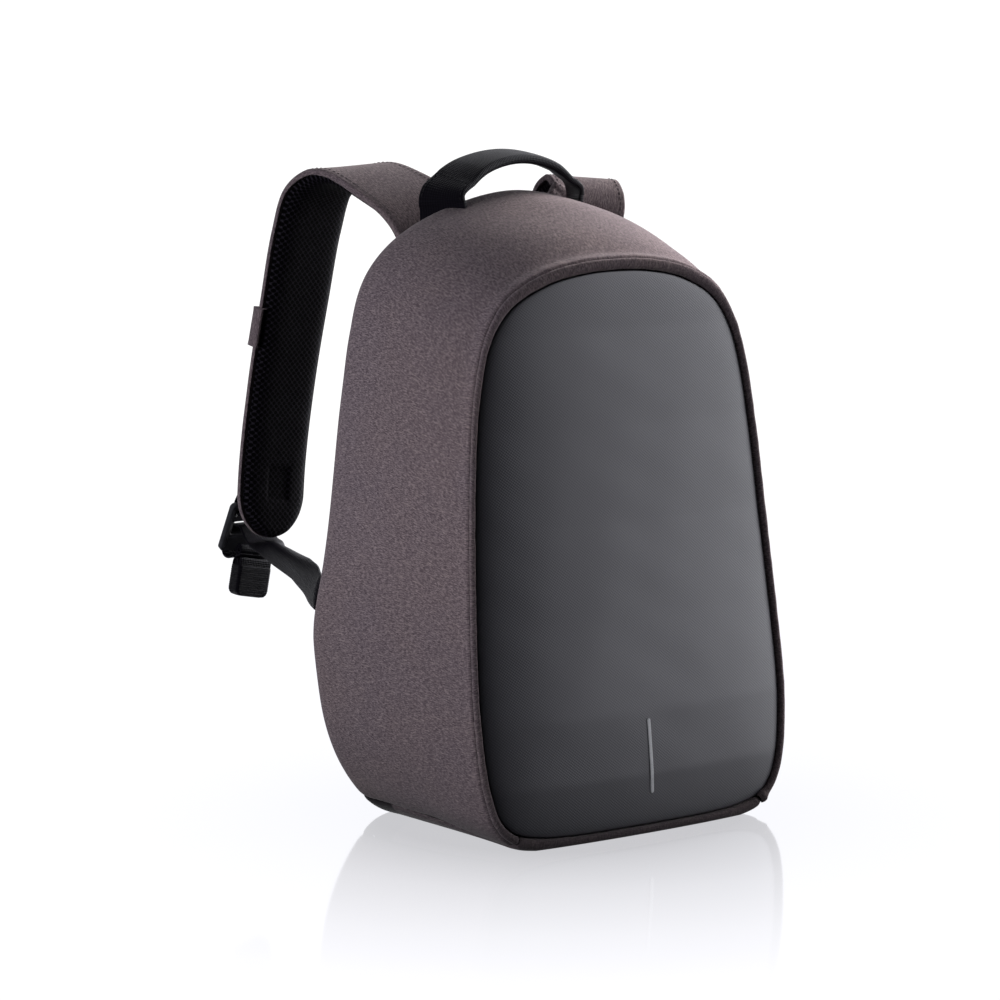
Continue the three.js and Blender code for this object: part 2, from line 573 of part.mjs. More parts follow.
// One shoulder strap: mesh pad inside, fabric cover outside
function buildStrap(side, table, reach) {
  const seat = BACK_SWELL + COVER_THICKNESS + STRAP_GAP + GAP - 0.2;
  const rows = table.map(({ out, behind, up, across }) => ({
    at: [(out * BAG_WIDTH) / 2, backAt(up * BAG_HEIGHT) + seat + behind * reach, up * BAG_HEIGHT],
    across,
  }));
  const stations = places(rows, 56);
  add(`strap_${side}_pad`, sweep(stations, (place) =>
    band(roundedHalf(place, STRAP_HALF), -PAD_THICKNESS, 0)), "mesh");
  add(`strap_${side}_cover`, sweep(stations, (place) =>
    band(roundedHalf(place, STRAP_HALF + 0.6), STRAP_GAP, STRAP_GAP + COVER_THICKNESS)), "fabric");
  return stations;
}

// The left strap's fabric band, on the outer side of the cover
function buildBand(stations) {
  const from = stations.findIndex((place) => place.at.z < BAND_TOP && place.along.z < 0);
  const start = stations[from].distance;
  const part = stations.filter(({ distance }) => distance >= start && distance <= start + BAND_HEIGHT);
  const low = STRAP_GAP + COVER_THICKNESS + GAP;
  add("strap_left_band", sweep(part, () => band(STRAP_HALF + 1.5, low, low + BAND_THICKNESS)), "fabric");
}

// A rectangle with rounded corners, as a shape or as a hole
function roundedRectangle(Kind, left, bottom, width, height, radius) {
  const path = new Kind();
  const [right, top] = [left + width, bottom + height];
  const corner = (x, y, from) => path.absarc(x, y, radius, from * Math.PI, (from + 0.5) * Math.PI);
  corner(right - radius, bottom + radius, 1.5);
  corner(right - radius, top - radius, 0);
  corner(left + radius, top - radius, 0.5);
  corner(left + radius, bottom + radius, 1);
  path.closePath();
  return path;
}

// One adjuster: the frame, its anchor from the strap, the webbing from the back seam, and the tail folded up
// in its elastic keeper
function buildAdjuster(side, strap, table, height) {
  const outwards = side === "left" ? -1 : 1;
  const end = strap.at(-1).at;
  const sewn = strap.filter(({ distance, length }) =>
    length - distance > ANCHOR_SEAT[0] && length - distance < ANCHOR_SEAT[1]);
  const cover = Math.max(...sewn.map(({ at }) => at.y)) + STRAP_GAP + COVER_THICKNESS;
  const anchor = cover + 1.5 * GAP + WEB_THICKNESS / 2;
  const middle = new THREE.Vector3(end.x + outwards, anchor - ANCHOR_LOOP[0].at[1], end.z + LOCK_RISE);
  const seam = backAt(height - WEB_HALF) - WEB_SINK;
  const start = new THREE.Vector3(outwards * (bodySide(height) - WEB_INSET), seam, height);
  const web = table.map(({ out, behind, rise, across }) => ({
    at: [
      THREE.MathUtils.lerp(start.x, middle.x, out),
      THREE.MathUtils.lerp(start.y, middle.y, behind),
      THREE.MathUtils.lerp(start.z, middle.z, behind) + rise,
    ],
    across,
  }));
  const half = LOCK_WIDTH / 2;
  const top = LOCK_LENGTH / 2;
  const frame = roundedRectangle(THREE.Shape, -half, -top, LOCK_WIDTH, LOCK_LENGTH, 3);
  const slot = (from, height) => frame.holes.push(
    roundedRectangle(THREE.Path, -LOCK_SLOT_WIDTH / 2, from, LOCK_SLOT_WIDTH, height, 1));
  const anchorSlot = top - LOCK_BAR - ANCHOR_SLOT;
  slot(anchorSlot, ANCHOR_SLOT);
  slot(anchorSlot - LOCK_BAR - WEB_SLOT, WEB_SLOT);
  const plain = (depth, curveSegments) => ({ depth, bevelEnabled: false, curveSegments });
  const plate = new THREE.ExtrudeGeometry(frame, plain(LOCK_THICKNESS, 3));
  plate.translate(0, 0, -LOCK_THICKNESS / 2);
  plate.rotateX(Math.PI / 2 + THREE.MathUtils.degToRad(LOCK_LEAN));
  plate.translate(middle.x, middle.y, middle.z);
  add(`lock_${side}`, plate, "plastic");

  const local = (rows) => rows.map((row) => {
    const at = new THREE.Vector3(...row.at).add(middle);
    return { ...row, at: at.toArray() };
  });
  const flat = () => band(WEB_HALF, -WEB_THICKNESS / 2, WEB_THICKNESS / 2, WEB_THICKNESS / 4);
  add(`web_${side}`, sweep(places([...web, ...local(WEB_LOOP)], 44), flat), "webbing");
  add(`anchor_${side}`, sweep(places(local(ANCHOR_LOOP), 22), flat), "webbing");

  const place = (geometry) => {
    geometry.rotateY(THREE.MathUtils.degToRad(TAIL_TURN));
    geometry.translate(...TAIL_PLACE);
    geometry.translate(middle.x, middle.y, middle.z);
    return geometry;
  };
  const folded = [-TAIL_DEPTH / 2, -TAIL_HEIGHT / 2, TAIL_DEPTH, TAIL_HEIGHT];
  const profile = roundedRectangle(THREE.Shape, ...folded, 4);
  const tail = new THREE.ExtrudeGeometry(profile, plain(2 * WEB_HALF, 5));
  tail.translate(0, 0, -WEB_HALF);
  tail.rotateX(Math.PI / 2);
  tail.rotateZ(Math.PI / 2);
  add(`tail_${side}`, place(tail), "webbing");

  const inside = [2 * (WEB_HALF + GAP), TAIL_DEPTH + 2 * GAP];
  const outside = inside.map((value) => value + 2 * KEEPER_THICKNESS);
  const sleeve = roundedRectangle(THREE.Shape, -outside[0] / 2, -outside[1] / 2, ...outside, 2);
  sleeve.holes.push(roundedRectangle(THREE.Path, -inside[0] / 2, -inside[1] / 2, ...inside, 0.8));
  const keeper = new THREE.ExtrudeGeometry(sleeve, plain(KEEPER_SHARE * TAIL_HEIGHT, 4));
  keeper.translate(0, 0, -TAIL_HEIGHT / 2 - GAP);
  add(`keeper_${side}`, place(keeper), "webbing");
}

buildShell();
buildFrontPanel();
buildBack();
buildHandle();
const leftStrap = buildStrap("left", LEFT_STRAP, LEFT_REACH);
const rightStrap = buildStrap("right", RIGHT_STRAP, RIGHT_REACH);
buildBand(leftStrap);
buildAdjuster("left", leftStrap, LEFT_WEB, LEFT_WEB_UP * BAG_HEIGHT);
buildAdjuster("right", rightStrap, RIGHT_WEB, RIGHT_WEB_UP * BAG_HEIGHT);

export default bag;
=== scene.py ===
"""A day backpack on a white studio floor: cloth shell, coated front panel, mesh straps and webbing."""
import math

import bpy
import numpy as np
from mathutils import Matrix, Vector


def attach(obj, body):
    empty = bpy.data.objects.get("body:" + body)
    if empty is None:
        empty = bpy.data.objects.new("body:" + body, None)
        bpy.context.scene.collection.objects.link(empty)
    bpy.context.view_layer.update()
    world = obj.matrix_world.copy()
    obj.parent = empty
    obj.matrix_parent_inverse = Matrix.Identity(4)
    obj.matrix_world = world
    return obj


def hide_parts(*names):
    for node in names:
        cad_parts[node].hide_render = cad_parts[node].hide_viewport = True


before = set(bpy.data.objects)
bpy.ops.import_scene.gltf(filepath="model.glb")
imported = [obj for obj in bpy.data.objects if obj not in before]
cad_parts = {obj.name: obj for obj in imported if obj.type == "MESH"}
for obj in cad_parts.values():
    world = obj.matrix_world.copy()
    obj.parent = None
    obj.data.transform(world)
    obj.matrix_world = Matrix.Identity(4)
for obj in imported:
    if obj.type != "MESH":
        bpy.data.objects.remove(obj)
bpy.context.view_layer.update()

MM = 0.001

# The photograph's camera: millimetres and degrees
CAMERA_AZIMUTH = -37.5
CAMERA_ELEVATION = 8
CAMERA_DISTANCE = 2475
CAMERA_AIM = (-38, 10.5, 207)
CAMERA_LENS = 138.46
CAMERA_SENSOR = 36


def make_camera():
    azimuth, elevation = math.radians(CAMERA_AZIMUTH), math.radians(CAMERA_ELEVATION)
    back = Vector((
        math.sin(azimuth) * math.cos(elevation),
        -math.cos(azimuth) * math.cos(elevation),
        math.sin(elevation),
    ))
    data = bpy.data.cameras.new("camera")
    data.lens = CAMERA_LENS
    data.sensor_width = CAMERA_SENSOR
    data.clip_end = 100
    camera = bpy.data.objects.new("camera", data)
    camera.location = (Vector(CAMERA_AIM) + back * CAMERA_DISTANCE) * MM
    camera.rotation_euler = back.to_track_quat("Z", "Y").to_euler()
    bpy.context.collection.objects.link(camera)
    bpy.context.scene.camera = camera


make_camera()

# Named sizes of the bag, as in the model: millimetres
BAG_HEIGHT = 402
BAG_WIDTH = 294
BACK_DEPTH = 75
BACK_LEAN = 18
PANEL_WIDTH = 244
PANEL_HEIGHT = 352
PANEL_BASE = 6.2
FRONT_DEPTH = 84.5
FRONT_LEAN = 33
FRONT_BOW = 7.5
PANEL_DOME = 6.5
RIM_WIDTH = 6.8
RIM_TOP = 9.5
SEAM_WIDTH = PANEL_WIDTH + 2 * RIM_WIDTH
SEAM_HEIGHT = PANEL_BASE + PANEL_HEIGHT + RIM_TOP
PANEL_GAP = 0.8
SEAM_GAP = 0.9
GUSSET_WIDTH = 11
BACK_SWELL = 5.4
SHELL_EDGE = 14
BASE_SHARE = 6 / 64
BAR_BASE = 29
BAR_HEIGHT = 48
GAP = 0.4
STRAP_HALF = 27
STRAP_TAPER = 2.5
STRAP_GAP = 1.1
LEFT_REACH = 130
RIGHT_REACH = 48
COVER_THICKNESS = 2
STRAP_END_RADIUS = 30
BAND_TOP = 319
BAND_HEIGHT = 26
WEB_HALF = 12.5
WEB_THICKNESS = 1.6
LEFT_WEB_UP = 0.3756
RIGHT_WEB_UP = 0.2948
WEB_INSET = 7.3
WEB_SINK = 1.05
HANDLE_THICKNESS = 3
HANDLE_SPAN = 112
HANDLE_INSET = 7
HANDLE_RISE = 31
HANDLE_SEAT = 1
LOCK_WIDTH = 36
LOCK_LENGTH = 38
LOCK_THICKNESS = 4.5
LOCK_BAR = 4.4
ANCHOR_SLOT = 5.2
WEB_SLOT = 10
LOCK_LEAN = 28
LOCK_RISE = 5.5
ANCHOR_SEAT = (26, 64)
TAIL_PLACE = (0.5, -3.5, -30.5)
TAIL_TURN = 11
TAIL_DEPTH = 10.5
TAIL_HEIGHT = 36
KEEPER_SHARE = 0.58
CREASE = 0.8  # where the rim's roll meets the shell's cloth, as a share of the rim's width

# Front view outlines: up is a share of the height, out a share of the half width
PANEL_OUTLINE = (
    (0, 0), (0, 0.4), (0.006, 0.68), (0.02, 0.83), (0.049, 0.915), (0.097, 0.963), (0.152, 0.988),
    (0.233, 1), (0.33, 0.992), (0.44, 0.973), (0.557, 0.949), (0.693, 0.915), (0.801, 0.869),
    (0.882, 0.8), (0.94, 0.675), (0.979, 0.455), (0.996, 0.22), (1, 0),
)
SEAM_OUTLINE = (
    (0, 0), (0, 0.38), (0, 0.65), (0.012, 0.79), (0.045, 0.9), (0.097, 0.962), (0.16, 0.99),
    (0.235, 1), (0.33, 0.992), (0.44, 0.973), (0.557, 0.949), (0.693, 0.915), (0.801, 0.869),
    (0.882, 0.795), (0.94, 0.675), (0.979, 0.46), (0.996, 0.23), (1, 0),
)
BODY_OUTLINE = (
    (0, 0), (0, 0.32), (0, 0.58), (0.012, 0.68), (0.04, 0.765), (0.0925, 0.864), (0.16, 0.94),
    (0.24, 0.984), (0.32, 1), (0.42, 0.962), (0.56, 0.924), (0.7, 0.893), (0.78, 0.87),
    (0.845, 0.826), (0.885, 0.768), (0.92, 0.678), (0.9475, 0.57), (0.97, 0.44), (0.988, 0.275),
    (0.997, 0.13), (1, 0),
)
# Side view: how much of each lean is reached at a share of the bag's height
FRONT_SIDE = ((0, 0), (0.1, 0.03), (0.2, 0.14), (0.35, 0.38), (0.5, 0.6), (0.65, 0.78), (0.8, 0.92), (1, 1))
BACK_SIDE = ((0, 0), (0.3, 0.04), (0.45, 0.3), (0.65, 0.62), (0.8, 0.9), (1, 1))
# The rim's roll: share of the way from the panel's edge to the seam, millimetres forward
RIM_ROLL = ((0.04, -7), (0.02, -2.2), (0, 0), (0.18, 2), (0.48, 2.4), (0.78, 0.8), (0.96, -3.2), (1, -8.5))
# The shell: share of the way back, share of the swell, millimetres in from the outline
SHELL_ROWS = (
    (0, 0, 0), (0.08, 0.16, 0), (0.2, 0.36, 0), (0.4, 0.64, 0), (0.6, 0.85, 0), (0.78, 0.97, 0),
    (0.91, 1, 0), (0.965, 1, 2.6), (0.99, 1, 7.5), (1, 1, 14),
)

# Strap routes: share of the half width, of the reach, of the height, and the direction of the width
LEFT_STRAP = (
    (-0.299, 0, 0.8209, (1, 0, 0)), (-0.303, 0.004, 0.8756, (1, 0, 0.08)),
    (-0.31, 0.037, 0.9353, (0.97, 0, 0.24)), (-0.32, 0.148, 0.9751, (0.97, 0, 0.24)),
    (-0.344, 0.357, 1.0062, (0.98, 0, 0.17)), (-0.371, 0.595, 1.0274, (1, 0, 0.07)),
    (-0.395, 0.742, 1.0199, (1, 0, 0.01)), (-0.422, 0.864, 0.9888, (1, 0, 0)),
    (-0.449, 0.921, 0.9229, (1, 0, 0)), (-0.483, 0.967, 0.8109, (1, 0, 0)),
    (-0.517, 1.002, 0.6716, (1, 0, 0)), (-0.551, 1.006, 0.5348, (1, 0, 0)),
    (-0.582, 0.965, 0.408, (1, 0, 0)),
)
RIGHT_STRAP = (
    (0.313, 0, 0.8209, (1, 0, 0)), (0.34, 0.013, 0.8706, (1, -0.03, -0.1)),
    (0.418, 0.06, 0.9179, (0.97, -0.1, -0.15)), (0.512, 0.085, 0.9507, (0.97, -0.13, -0.16)),
    (0.568, 0.145, 0.9732, (0.97, -0.12, -0.15)), (0.598, 0.285, 0.9925, (0.98, -0.11, -0.12)),
    (0.619, 0.487, 1.0032, (0.99, -0.1, -0.09)), (0.632, 0.736, 0.9938, (0.99, -0.1, -0.05)),
    (0.643, 0.918, 0.9652, (1, -0.08, -0.02)), (0.654, 1.022, 0.908, (1, -0.05, 0)),
    (0.655, 1.072, 0.796, (1, 0, 0)), (0.654, 1.057, 0.6219, (1, 0, 0)),
    (0.646, 1.057, 0.4478, (1, 0, 0)), (0.633, 1.001, 0.2786, (1, 0, 0)),
)
# Webbing from the back seam to the adjuster: shares of the way, rise over the straight line, width
LEFT_WEB = (
    (0, 0, 0, (0.2, 0, 0.98)), (0.003, 0.02, 0, (0.2, 0, 0.98)), (0.036, 0.044, -0.1, (0.24, -0.05, 0.97)),
    (0.195, 0.153, 0.8, (0.45, 0.12, 0.88)), (0.354, 0.285, -0.5, (0.63, 0.3, 0.7)),
    (0.543, 0.449, -2.3, (0.78, 0.22, 0.59)), (0.722, 0.623, -3.7, (0.9, 0.16, 0.4)),
    (0.881, 0.759, -5.3, (0.97, 0.15, 0.18)), (0.988, 0.884, -5.4, (1, 0, 0)),
)
RIGHT_WEB = (
    (0, 0, 0, (0.2, 0, -0.98)), (0.003, 0.032, 0, (0.2, 0, -0.98)), (0.043, 0.074, 0.1, (0.24, 0.05, -0.97)),
    (0.191, 0.226, -2.8, (0.45, -0.12, -0.88)), (0.383, 0.391, -6.1, (0.63, -0.25, -0.7)),
    (0.596, 0.544, -9.5, (0.8, -0.2, -0.5)), (0.809, 0.665, -10.8, (0.95, -0.1, -0.25)),
    (0.957, 0.773, -9.2, (1, 0, 0)),
)
WEB_LOOP = (
    (0, -8.5, 0.8), (0, -1, 1.6), (0, 8.5, -3), (0, 13.2, -14.6), (0.2, 11.4, -20.6), (0.4, 7, -22),
    (0.5, 2.4, -20.8),
)
ANCHOR_LOOP = (
    (0, -19.4, 52), (0, -19.4, 34), (0, -14.6, 18), (0, -8.6, 9), (0, -5, 10.2), (0, -3.2, 15.8),
    (0, -6.2, 21), (0, -14.2, 29.5),
)
# Left handle half: shares of half the span and of the rise, direction of the width, half width, thickness
HANDLE = (
    (-1, 0, (0.34, -0.86, 0.2), 17.4, 1), (-1.01, 0.155, (0.38, -0.88, 0.16), 17, 1),
    (-0.94, 0.345, (0.42, -0.9, 0.06), 16.5, 1), (-0.765, 0.59, (0.42, -0.9, -0.04), 16, 1.4),
    (-0.58, 0.787, (0.3, -0.95, -0.08), 15.5, 1.9), (-0.304, 0.942, (0.12, -0.98, -0.1), 15, 2),
    (0, 1, (0, -0.99, -0.1), 15, 2),
)


# Curves: straight pieces for each stretch, and the share of the length that a direction is read over
CURVE_STEPS = 40
TANGENT_REACH = 0.0015


class Path:
    """A centripetal Catmull-Rom curve through points, asked by the share of its length."""

    def __init__(self, points, closed=False):
        points = np.asarray(points, float)
        count = len(points)
        out, spots = [], []
        for i in range(count if closed else count - 1):
            p1, p2 = points[i], points[(i + 1) % count]
            p0 = points[i - 1] if closed or i > 0 else 2 * p1 - p2
            p3 = points[(i + 2) % count] if closed or i + 2 < count else 2 * p2 - p1
            ends = ((p0, p1), (p1, p2), (p2, p3))
            spans = [max(float(np.linalg.norm(b - a)), 1e-6) ** 0.5 for a, b in ends]
            start = (p1 - p0) / spans[0] - (p2 - p0) / (spans[0] + spans[1]) + (p2 - p1) / spans[1]
            end = (p2 - p1) / spans[1] - (p3 - p1) / (spans[1] + spans[2]) + (p3 - p2) / spans[2]
            start, end = start * spans[1], end * spans[1]
            t = np.linspace(0, 1, CURVE_STEPS, endpoint=False)[:, None]
            cubic = 2 * (p1 - p2) + start + end
            square = 3 * (p2 - p1) - 2 * start - end
            out.append(p1 + start * t + square * t**2 + cubic * t**3)
            spots.append(i + t[:, 0])
        out.append(points[:1] if closed else points[-1:])
        spots.append(np.array([count if closed else count - 1.0]))
        self.points = np.concatenate(out)
        self.spots = np.concatenate(spots)
        steps_long = np.linalg.norm(np.diff(self.points, axis=0), axis=1)
        self.along = np.concatenate([[0], np.cumsum(steps_long)])
        self.length = float(self.along[-1])
        self.closed = closed

    def _sample(self, values, shares):
        shares = np.asarray(shares, float)
        shares = np.mod(shares, 1) if self.closed else np.clip(shares, 0, 1)
        where = shares * self.length
        return np.stack([np.interp(where, self.along, values[:, k]) for k in range(values.shape[1])], -1)

    def at(self, shares):
        return self._sample(self.points, shares)

    def spot(self, shares):
        return self._sample(self.spots[:, None], shares)[..., 0]

    def tangent(self, shares):
        shares = np.asarray(shares, float)
        ahead, behind = shares + TANGENT_REACH, shares - TANGENT_REACH
        if not self.closed:
            ahead, behind = np.clip(ahead, 0, 1), np.clip(behind, 0, 1)
        way = self.at(ahead) - self.at(behind)
        return way / np.linalg.norm(way, axis=-1, keepdims=True)


def share_at(rows, up):
    """A table's second value at its first."""
    return np.interp(up, [r[0] for r in rows], [r[1] for r in rows])


class Outline:
    """A front view outline, from the bottom's middle round by +X: points and inward directions in XZ."""

    def __init__(self, rows, width, height, base):
        side = [(out * width / 2, base + up * height) for up, out in rows]
        other = [(-x, z) for x, z in side[1:-1][::-1]]
        self.path = Path(side + other, closed=True)
        self.base = base

    def at(self, shares):
        points = self.path.at(shares)
        points[..., 1] = np.maximum(points[..., 1], self.base)
        return points

    def inward(self, shares):
        way = self.path.tangent(shares)
        return np.stack([-way[..., 1], way[..., 0]], -1)


panel_outline = Outline(PANEL_OUTLINE, PANEL_WIDTH, PANEL_HEIGHT, PANEL_BASE)
seam_outline = Outline(SEAM_OUTLINE, SEAM_WIDTH, SEAM_HEIGHT, 0)
body_outline = Outline(BODY_OUTLINE, BAG_WIDTH, BAG_HEIGHT, 0)


def front_at(x, z):
    """Y of the bag's front, leaning back and bowed."""
    bow = FRONT_BOW * (1 - (2 * x / PANEL_WIDTH) ** 2)
    return -FRONT_DEPTH + FRONT_LEAN * share_at(FRONT_SIDE, z / BAG_HEIGHT) - bow


def back_at(z):
    """Y of the bag's back."""
    return BACK_DEPTH - BACK_LEAN * share_at(BACK_SIDE, np.asarray(z) / BAG_HEIGHT)


def body_side(z):
    """Half width of the body at a height."""
    return float(share_at(BODY_OUTLINE[2:], z / BAG_HEIGHT)) * BAG_WIDTH / 2


def body_top(x):
    """Height of the body's top edge at a place across."""
    shares = np.linspace(0.5, 0.25, 400)
    points = body_outline.at(shares)
    return float(np.interp(x, points[:, 0], points[:, 1]))


def smooth_rows(rows, count):
    """A table's rows as one smooth curve, resampled. Shares are brought to about their millimetres for it."""
    scale = np.array([20.0, 1.0]) if len(rows[0]) == 2 else np.array([150.0, 40.0, 1.0])
    path = Path(np.array(rows, float) * scale)
    return path.at(np.linspace(0, 1, count)) / scale


def rim_points(shares, rows):
    """Points of the rim's roll: one row for each (out, fore)."""
    edge, seam = panel_outline.at(shares), seam_outline.at(shares)
    out, fore = rows[:, :1], rows[:, 1:2]
    xz = edge[None] + (seam - edge)[None] * out[..., None]
    y = front_at(edge[:, 0], edge[:, 1])[None] - fore
    return np.stack([xz[..., 0], y, xz[..., 1]], -1)


def shell_points(shares, rows):
    """Points of the shell: one row for each (depth, swell, inset)."""
    front = rim_points(shares, np.array([RIM_ROLL[-1]], float))[0]
    body, inward = body_outline.at(shares), body_outline.inward(shares)
    depth, swell, inset = (rows[:, k][:, None] for k in range(3))
    x = front[None, :, 0] + (body[None, :, 0] - front[None, :, 0]) * swell + inward[None, :, 0] * inset
    z = front[None, :, 2] + (body[None, :, 1] - front[None, :, 2]) * swell + inward[None, :, 1] * inset
    y = front[None, :, 1] + (back_at(body[:, 1])[None] - front[None, :, 1]) * depth
    return np.stack([x, y, z], -1)


# Meshes
def grid_normals(grid, closed=False):
    """Unit normals of a grid of rows (front to back) of points (round the loop), pointing outwards."""
    down = np.gradient(grid, axis=0)
    if closed:
        along = np.roll(grid, -1, axis=1) - np.roll(grid, 1, axis=1)
    else:
        along = np.gradient(grid, axis=1)
    normal = np.cross(down, along)
    return normal / np.maximum(np.linalg.norm(normal, axis=-1, keepdims=True), 1e-9)


def pushed(grid, amount, closed=False):
    """The grid moved outwards by an amount for each point."""
    return grid + grid_normals(grid, closed) * amount[..., None]


def grid_uv(grid):
    """Lengths along the loop and across the rows, in millimetres."""
    middle = grid[len(grid) // 2]
    u = np.concatenate([[0], np.cumsum(np.linalg.norm(np.diff(middle, axis=0), axis=1))])
    v = np.cumsum(np.linalg.norm(np.diff(grid, axis=0, prepend=grid[:1]), axis=-1), axis=0)
    return np.stack([np.broadcast_to(u, v.shape), v], -1)


def ripple(uv, size, seed, octaves=3):
    """Smooth repeatable waves over lengths in millimetres, about -1 to 1."""
    rng = np.random.default_rng(seed)
    total = np.zeros(uv.shape[:-1])
    for octave in range(octaves):
        for _ in range(4):
            angle, phase = rng.uniform(0, 2 * math.pi, 2)
            wave = 2 * math.pi / (size * rng.uniform(0.7, 1.4) / 2**octave)
            along = uv[..., 0] * math.cos(angle) + uv[..., 1] * math.sin(angle)
            total += np.sin(wave * along + phase) / 2**octave
    return total / 4


def link_mesh(name, vertices, faces, uvs=None):
    """A smooth mesh object in metres from vertices in millimetres; uvs are per vertex, in millimetres."""
    mesh = bpy.data.meshes.new(name)
    mesh.from_pydata((np.asarray(vertices) * MM).tolist(), [], faces)
    if uvs is not None:
        layer = mesh.uv_layers.new(name="cloth")
        loops = np.empty(len(mesh.loops), dtype=np.int32)
        mesh.loops.foreach_get("vertex_index", loops)
        layer.data.foreach_set("uv", (np.asarray(uvs)[loops] * MM).astype(np.float32).ravel())
    mesh.validate()
    mesh.polygons.foreach_set("use_smooth", [True] * len(mesh.polygons))
    obj = bpy.data.objects.new(name, mesh)
    bpy.context.collection.objects.link(obj)
    return obj


def grid_faces(rows, columns, closed, start=0, flip=False):
    """Quads of a grid of corners, as index tuples."""
    faces = []
    for i in range(rows - 1):
        for j in range(columns if closed else columns - 1):
            k = (j + 1) % columns
            quad = (start + i * columns + j, start + (i + 1) * columns + j,
                    start + (i + 1) * columns + k, start + i * columns + k)
            faces.append(quad[::-1] if flip else quad)
    return faces


def cap_ring(vertices, uvs, faces, ring, columns, flip):
    """Closes the ring of corners that starts at an index by a fan round its middle."""
    vertices = np.concatenate([vertices, vertices[ring:ring + columns].mean(0)[None]])
    uvs = np.concatenate([uvs, uvs[ring:ring + columns].mean(0)[None]])
    for j in range(columns):
        face = (ring + j, ring + (j + 1) % columns, len(vertices) - 1)
        faces.append(face[::-1] if flip else face)
    return vertices, uvs


def cloth_wall(name, grid, thickness, uv, closed=False, cap=False):
    """A wall that grows inwards from a grid of outer points, with its edges turned in."""
    rows, columns = grid.shape[:2]
    inner = grid - grid_normals(grid, closed) * thickness
    vertices = np.concatenate([grid.reshape(-1, 3), inner.reshape(-1, 3)])
    uvs = np.concatenate([uv.reshape(-1, 2)] * 2)
    layer = rows * columns
    faces = grid_faces(rows, columns, closed) + grid_faces(rows, columns, closed, layer, True)
    last = (rows - 1) * columns
    for j in range(columns if closed else columns - 1):
        k = (j + 1) % columns
        faces.append((j, k, layer + k, layer + j))
        if not cap:
            faces.append((last + j, layer + last + j, layer + last + k, last + k))
    if cap:
        vertices, uvs = cap_ring(vertices, uvs, faces, last, columns, True)
        vertices, uvs = cap_ring(vertices, uvs, faces, layer + last, columns, False)
    if not closed:
        for i in range(rows - 1):
            a, b = i * columns, (i + 1) * columns
            faces.append((a, layer + a, layer + b, b))
            faces.append((a + columns - 1, b + columns - 1, layer + b + columns - 1, layer + a + columns - 1))
    return link_mesh(name, vertices, faces, uvs)


def tube(name, rings, uvs=None):
    """A closed skin through rings of corners, each ring in the same order."""
    rings = np.asarray(rings, float)
    rows, columns = rings.shape[:2]
    if uvs is None:
        u = np.concatenate([[0], np.cumsum(np.linalg.norm(np.diff(rings[rows // 2], axis=0), axis=1))])
        v = np.concatenate([[0], np.cumsum(np.linalg.norm(np.diff(rings.mean(1), axis=0), axis=1))])
        uvs = np.stack(np.broadcast_arrays(u[None], v[:, None]), -1)
    faces = grid_faces(rows, columns, True)
    vertices, flat = cap_ring(rings.reshape(-1, 3), uvs.reshape(-1, 2), faces, 0, columns, False)
    vertices, flat = cap_ring(vertices, flat, faces, (rows - 1) * columns, columns, True)
    return link_mesh(name, vertices, faces, flat)


class Route:
    """Places along a strap: position, tangent, width and outer directions, as arrays over shares."""

    def __init__(self, points, across):
        self.path = Path(points)
        self.widths = np.asarray(across, float)

    def value(self, table, shares):
        spots = self.path.spot(shares)
        table = np.asarray(table, float)
        knots = np.arange(len(table))
        if table.ndim == 1:
            return np.interp(spots, knots, table)
        return np.stack([np.interp(spots, knots, table[:, k]) for k in range(table.shape[1])], -1)

    def frames(self, shares):
        shares = np.asarray(shares, float)
        at, along = self.path.at(shares), self.path.tangent(shares)
        across = self.value(self.widths, shares)
        across -= along * (across * along).sum(-1, keepdims=True)
        across /= np.linalg.norm(across, axis=-1, keepdims=True)
        return at, along, across, np.cross(across, along)


def sweep(name, route, shares, section, uvs=None):
    """A skin swept along a route: section(i, share) gives corners as (across, outer) pairs."""
    at, _, across, outer = route.frames(shares)
    rings = []
    for i, share in enumerate(shares):
        corners = np.asarray(section(i, share), float)
        rings.append(at[i] + corners[:, :1] * across[i] + corners[:, 1:] * outer[i])
    return tube(name, rings, uvs)


def flat_section(half, low, high, roundness=0.8, count=8, cup=0.0, sides=4):
    """Corners of a flat band with rounded edges, from one edge over the underside to the other edge."""
    middle, thick = (low + high) / 2, (high - low) / 2
    radius = min(thick, roundness)
    corners = []
    flat = np.linspace(-(half - radius), half - radius, count)
    corners += [(a, middle - thick) for a in flat]
    angles = np.linspace(-math.pi / 2, math.pi / 2, 2 * sides + 1)[1:-1]
    corners += [(half - radius + radius * math.cos(t), middle + thick * math.sin(t)) for t in angles]
    corners += [(a, middle + thick) for a in flat[::-1]]
    corners += [(-(half - radius) - radius * math.cos(t), middle - thick * math.sin(t)) for t in angles]
    return [(a, n - cup * (a / half) ** 2) for a, n in corners]


def finish_piece(obj, material, nodes):
    """Material, body and the nodes that the piece stands for."""
    obj.data.materials.clear()
    obj.data.materials.append(material)
    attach(obj, "root")
    if nodes:
        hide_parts(*nodes)


# Materials
MESH_PITCH = 3.0  # millimetres between the holes of the spacer mesh


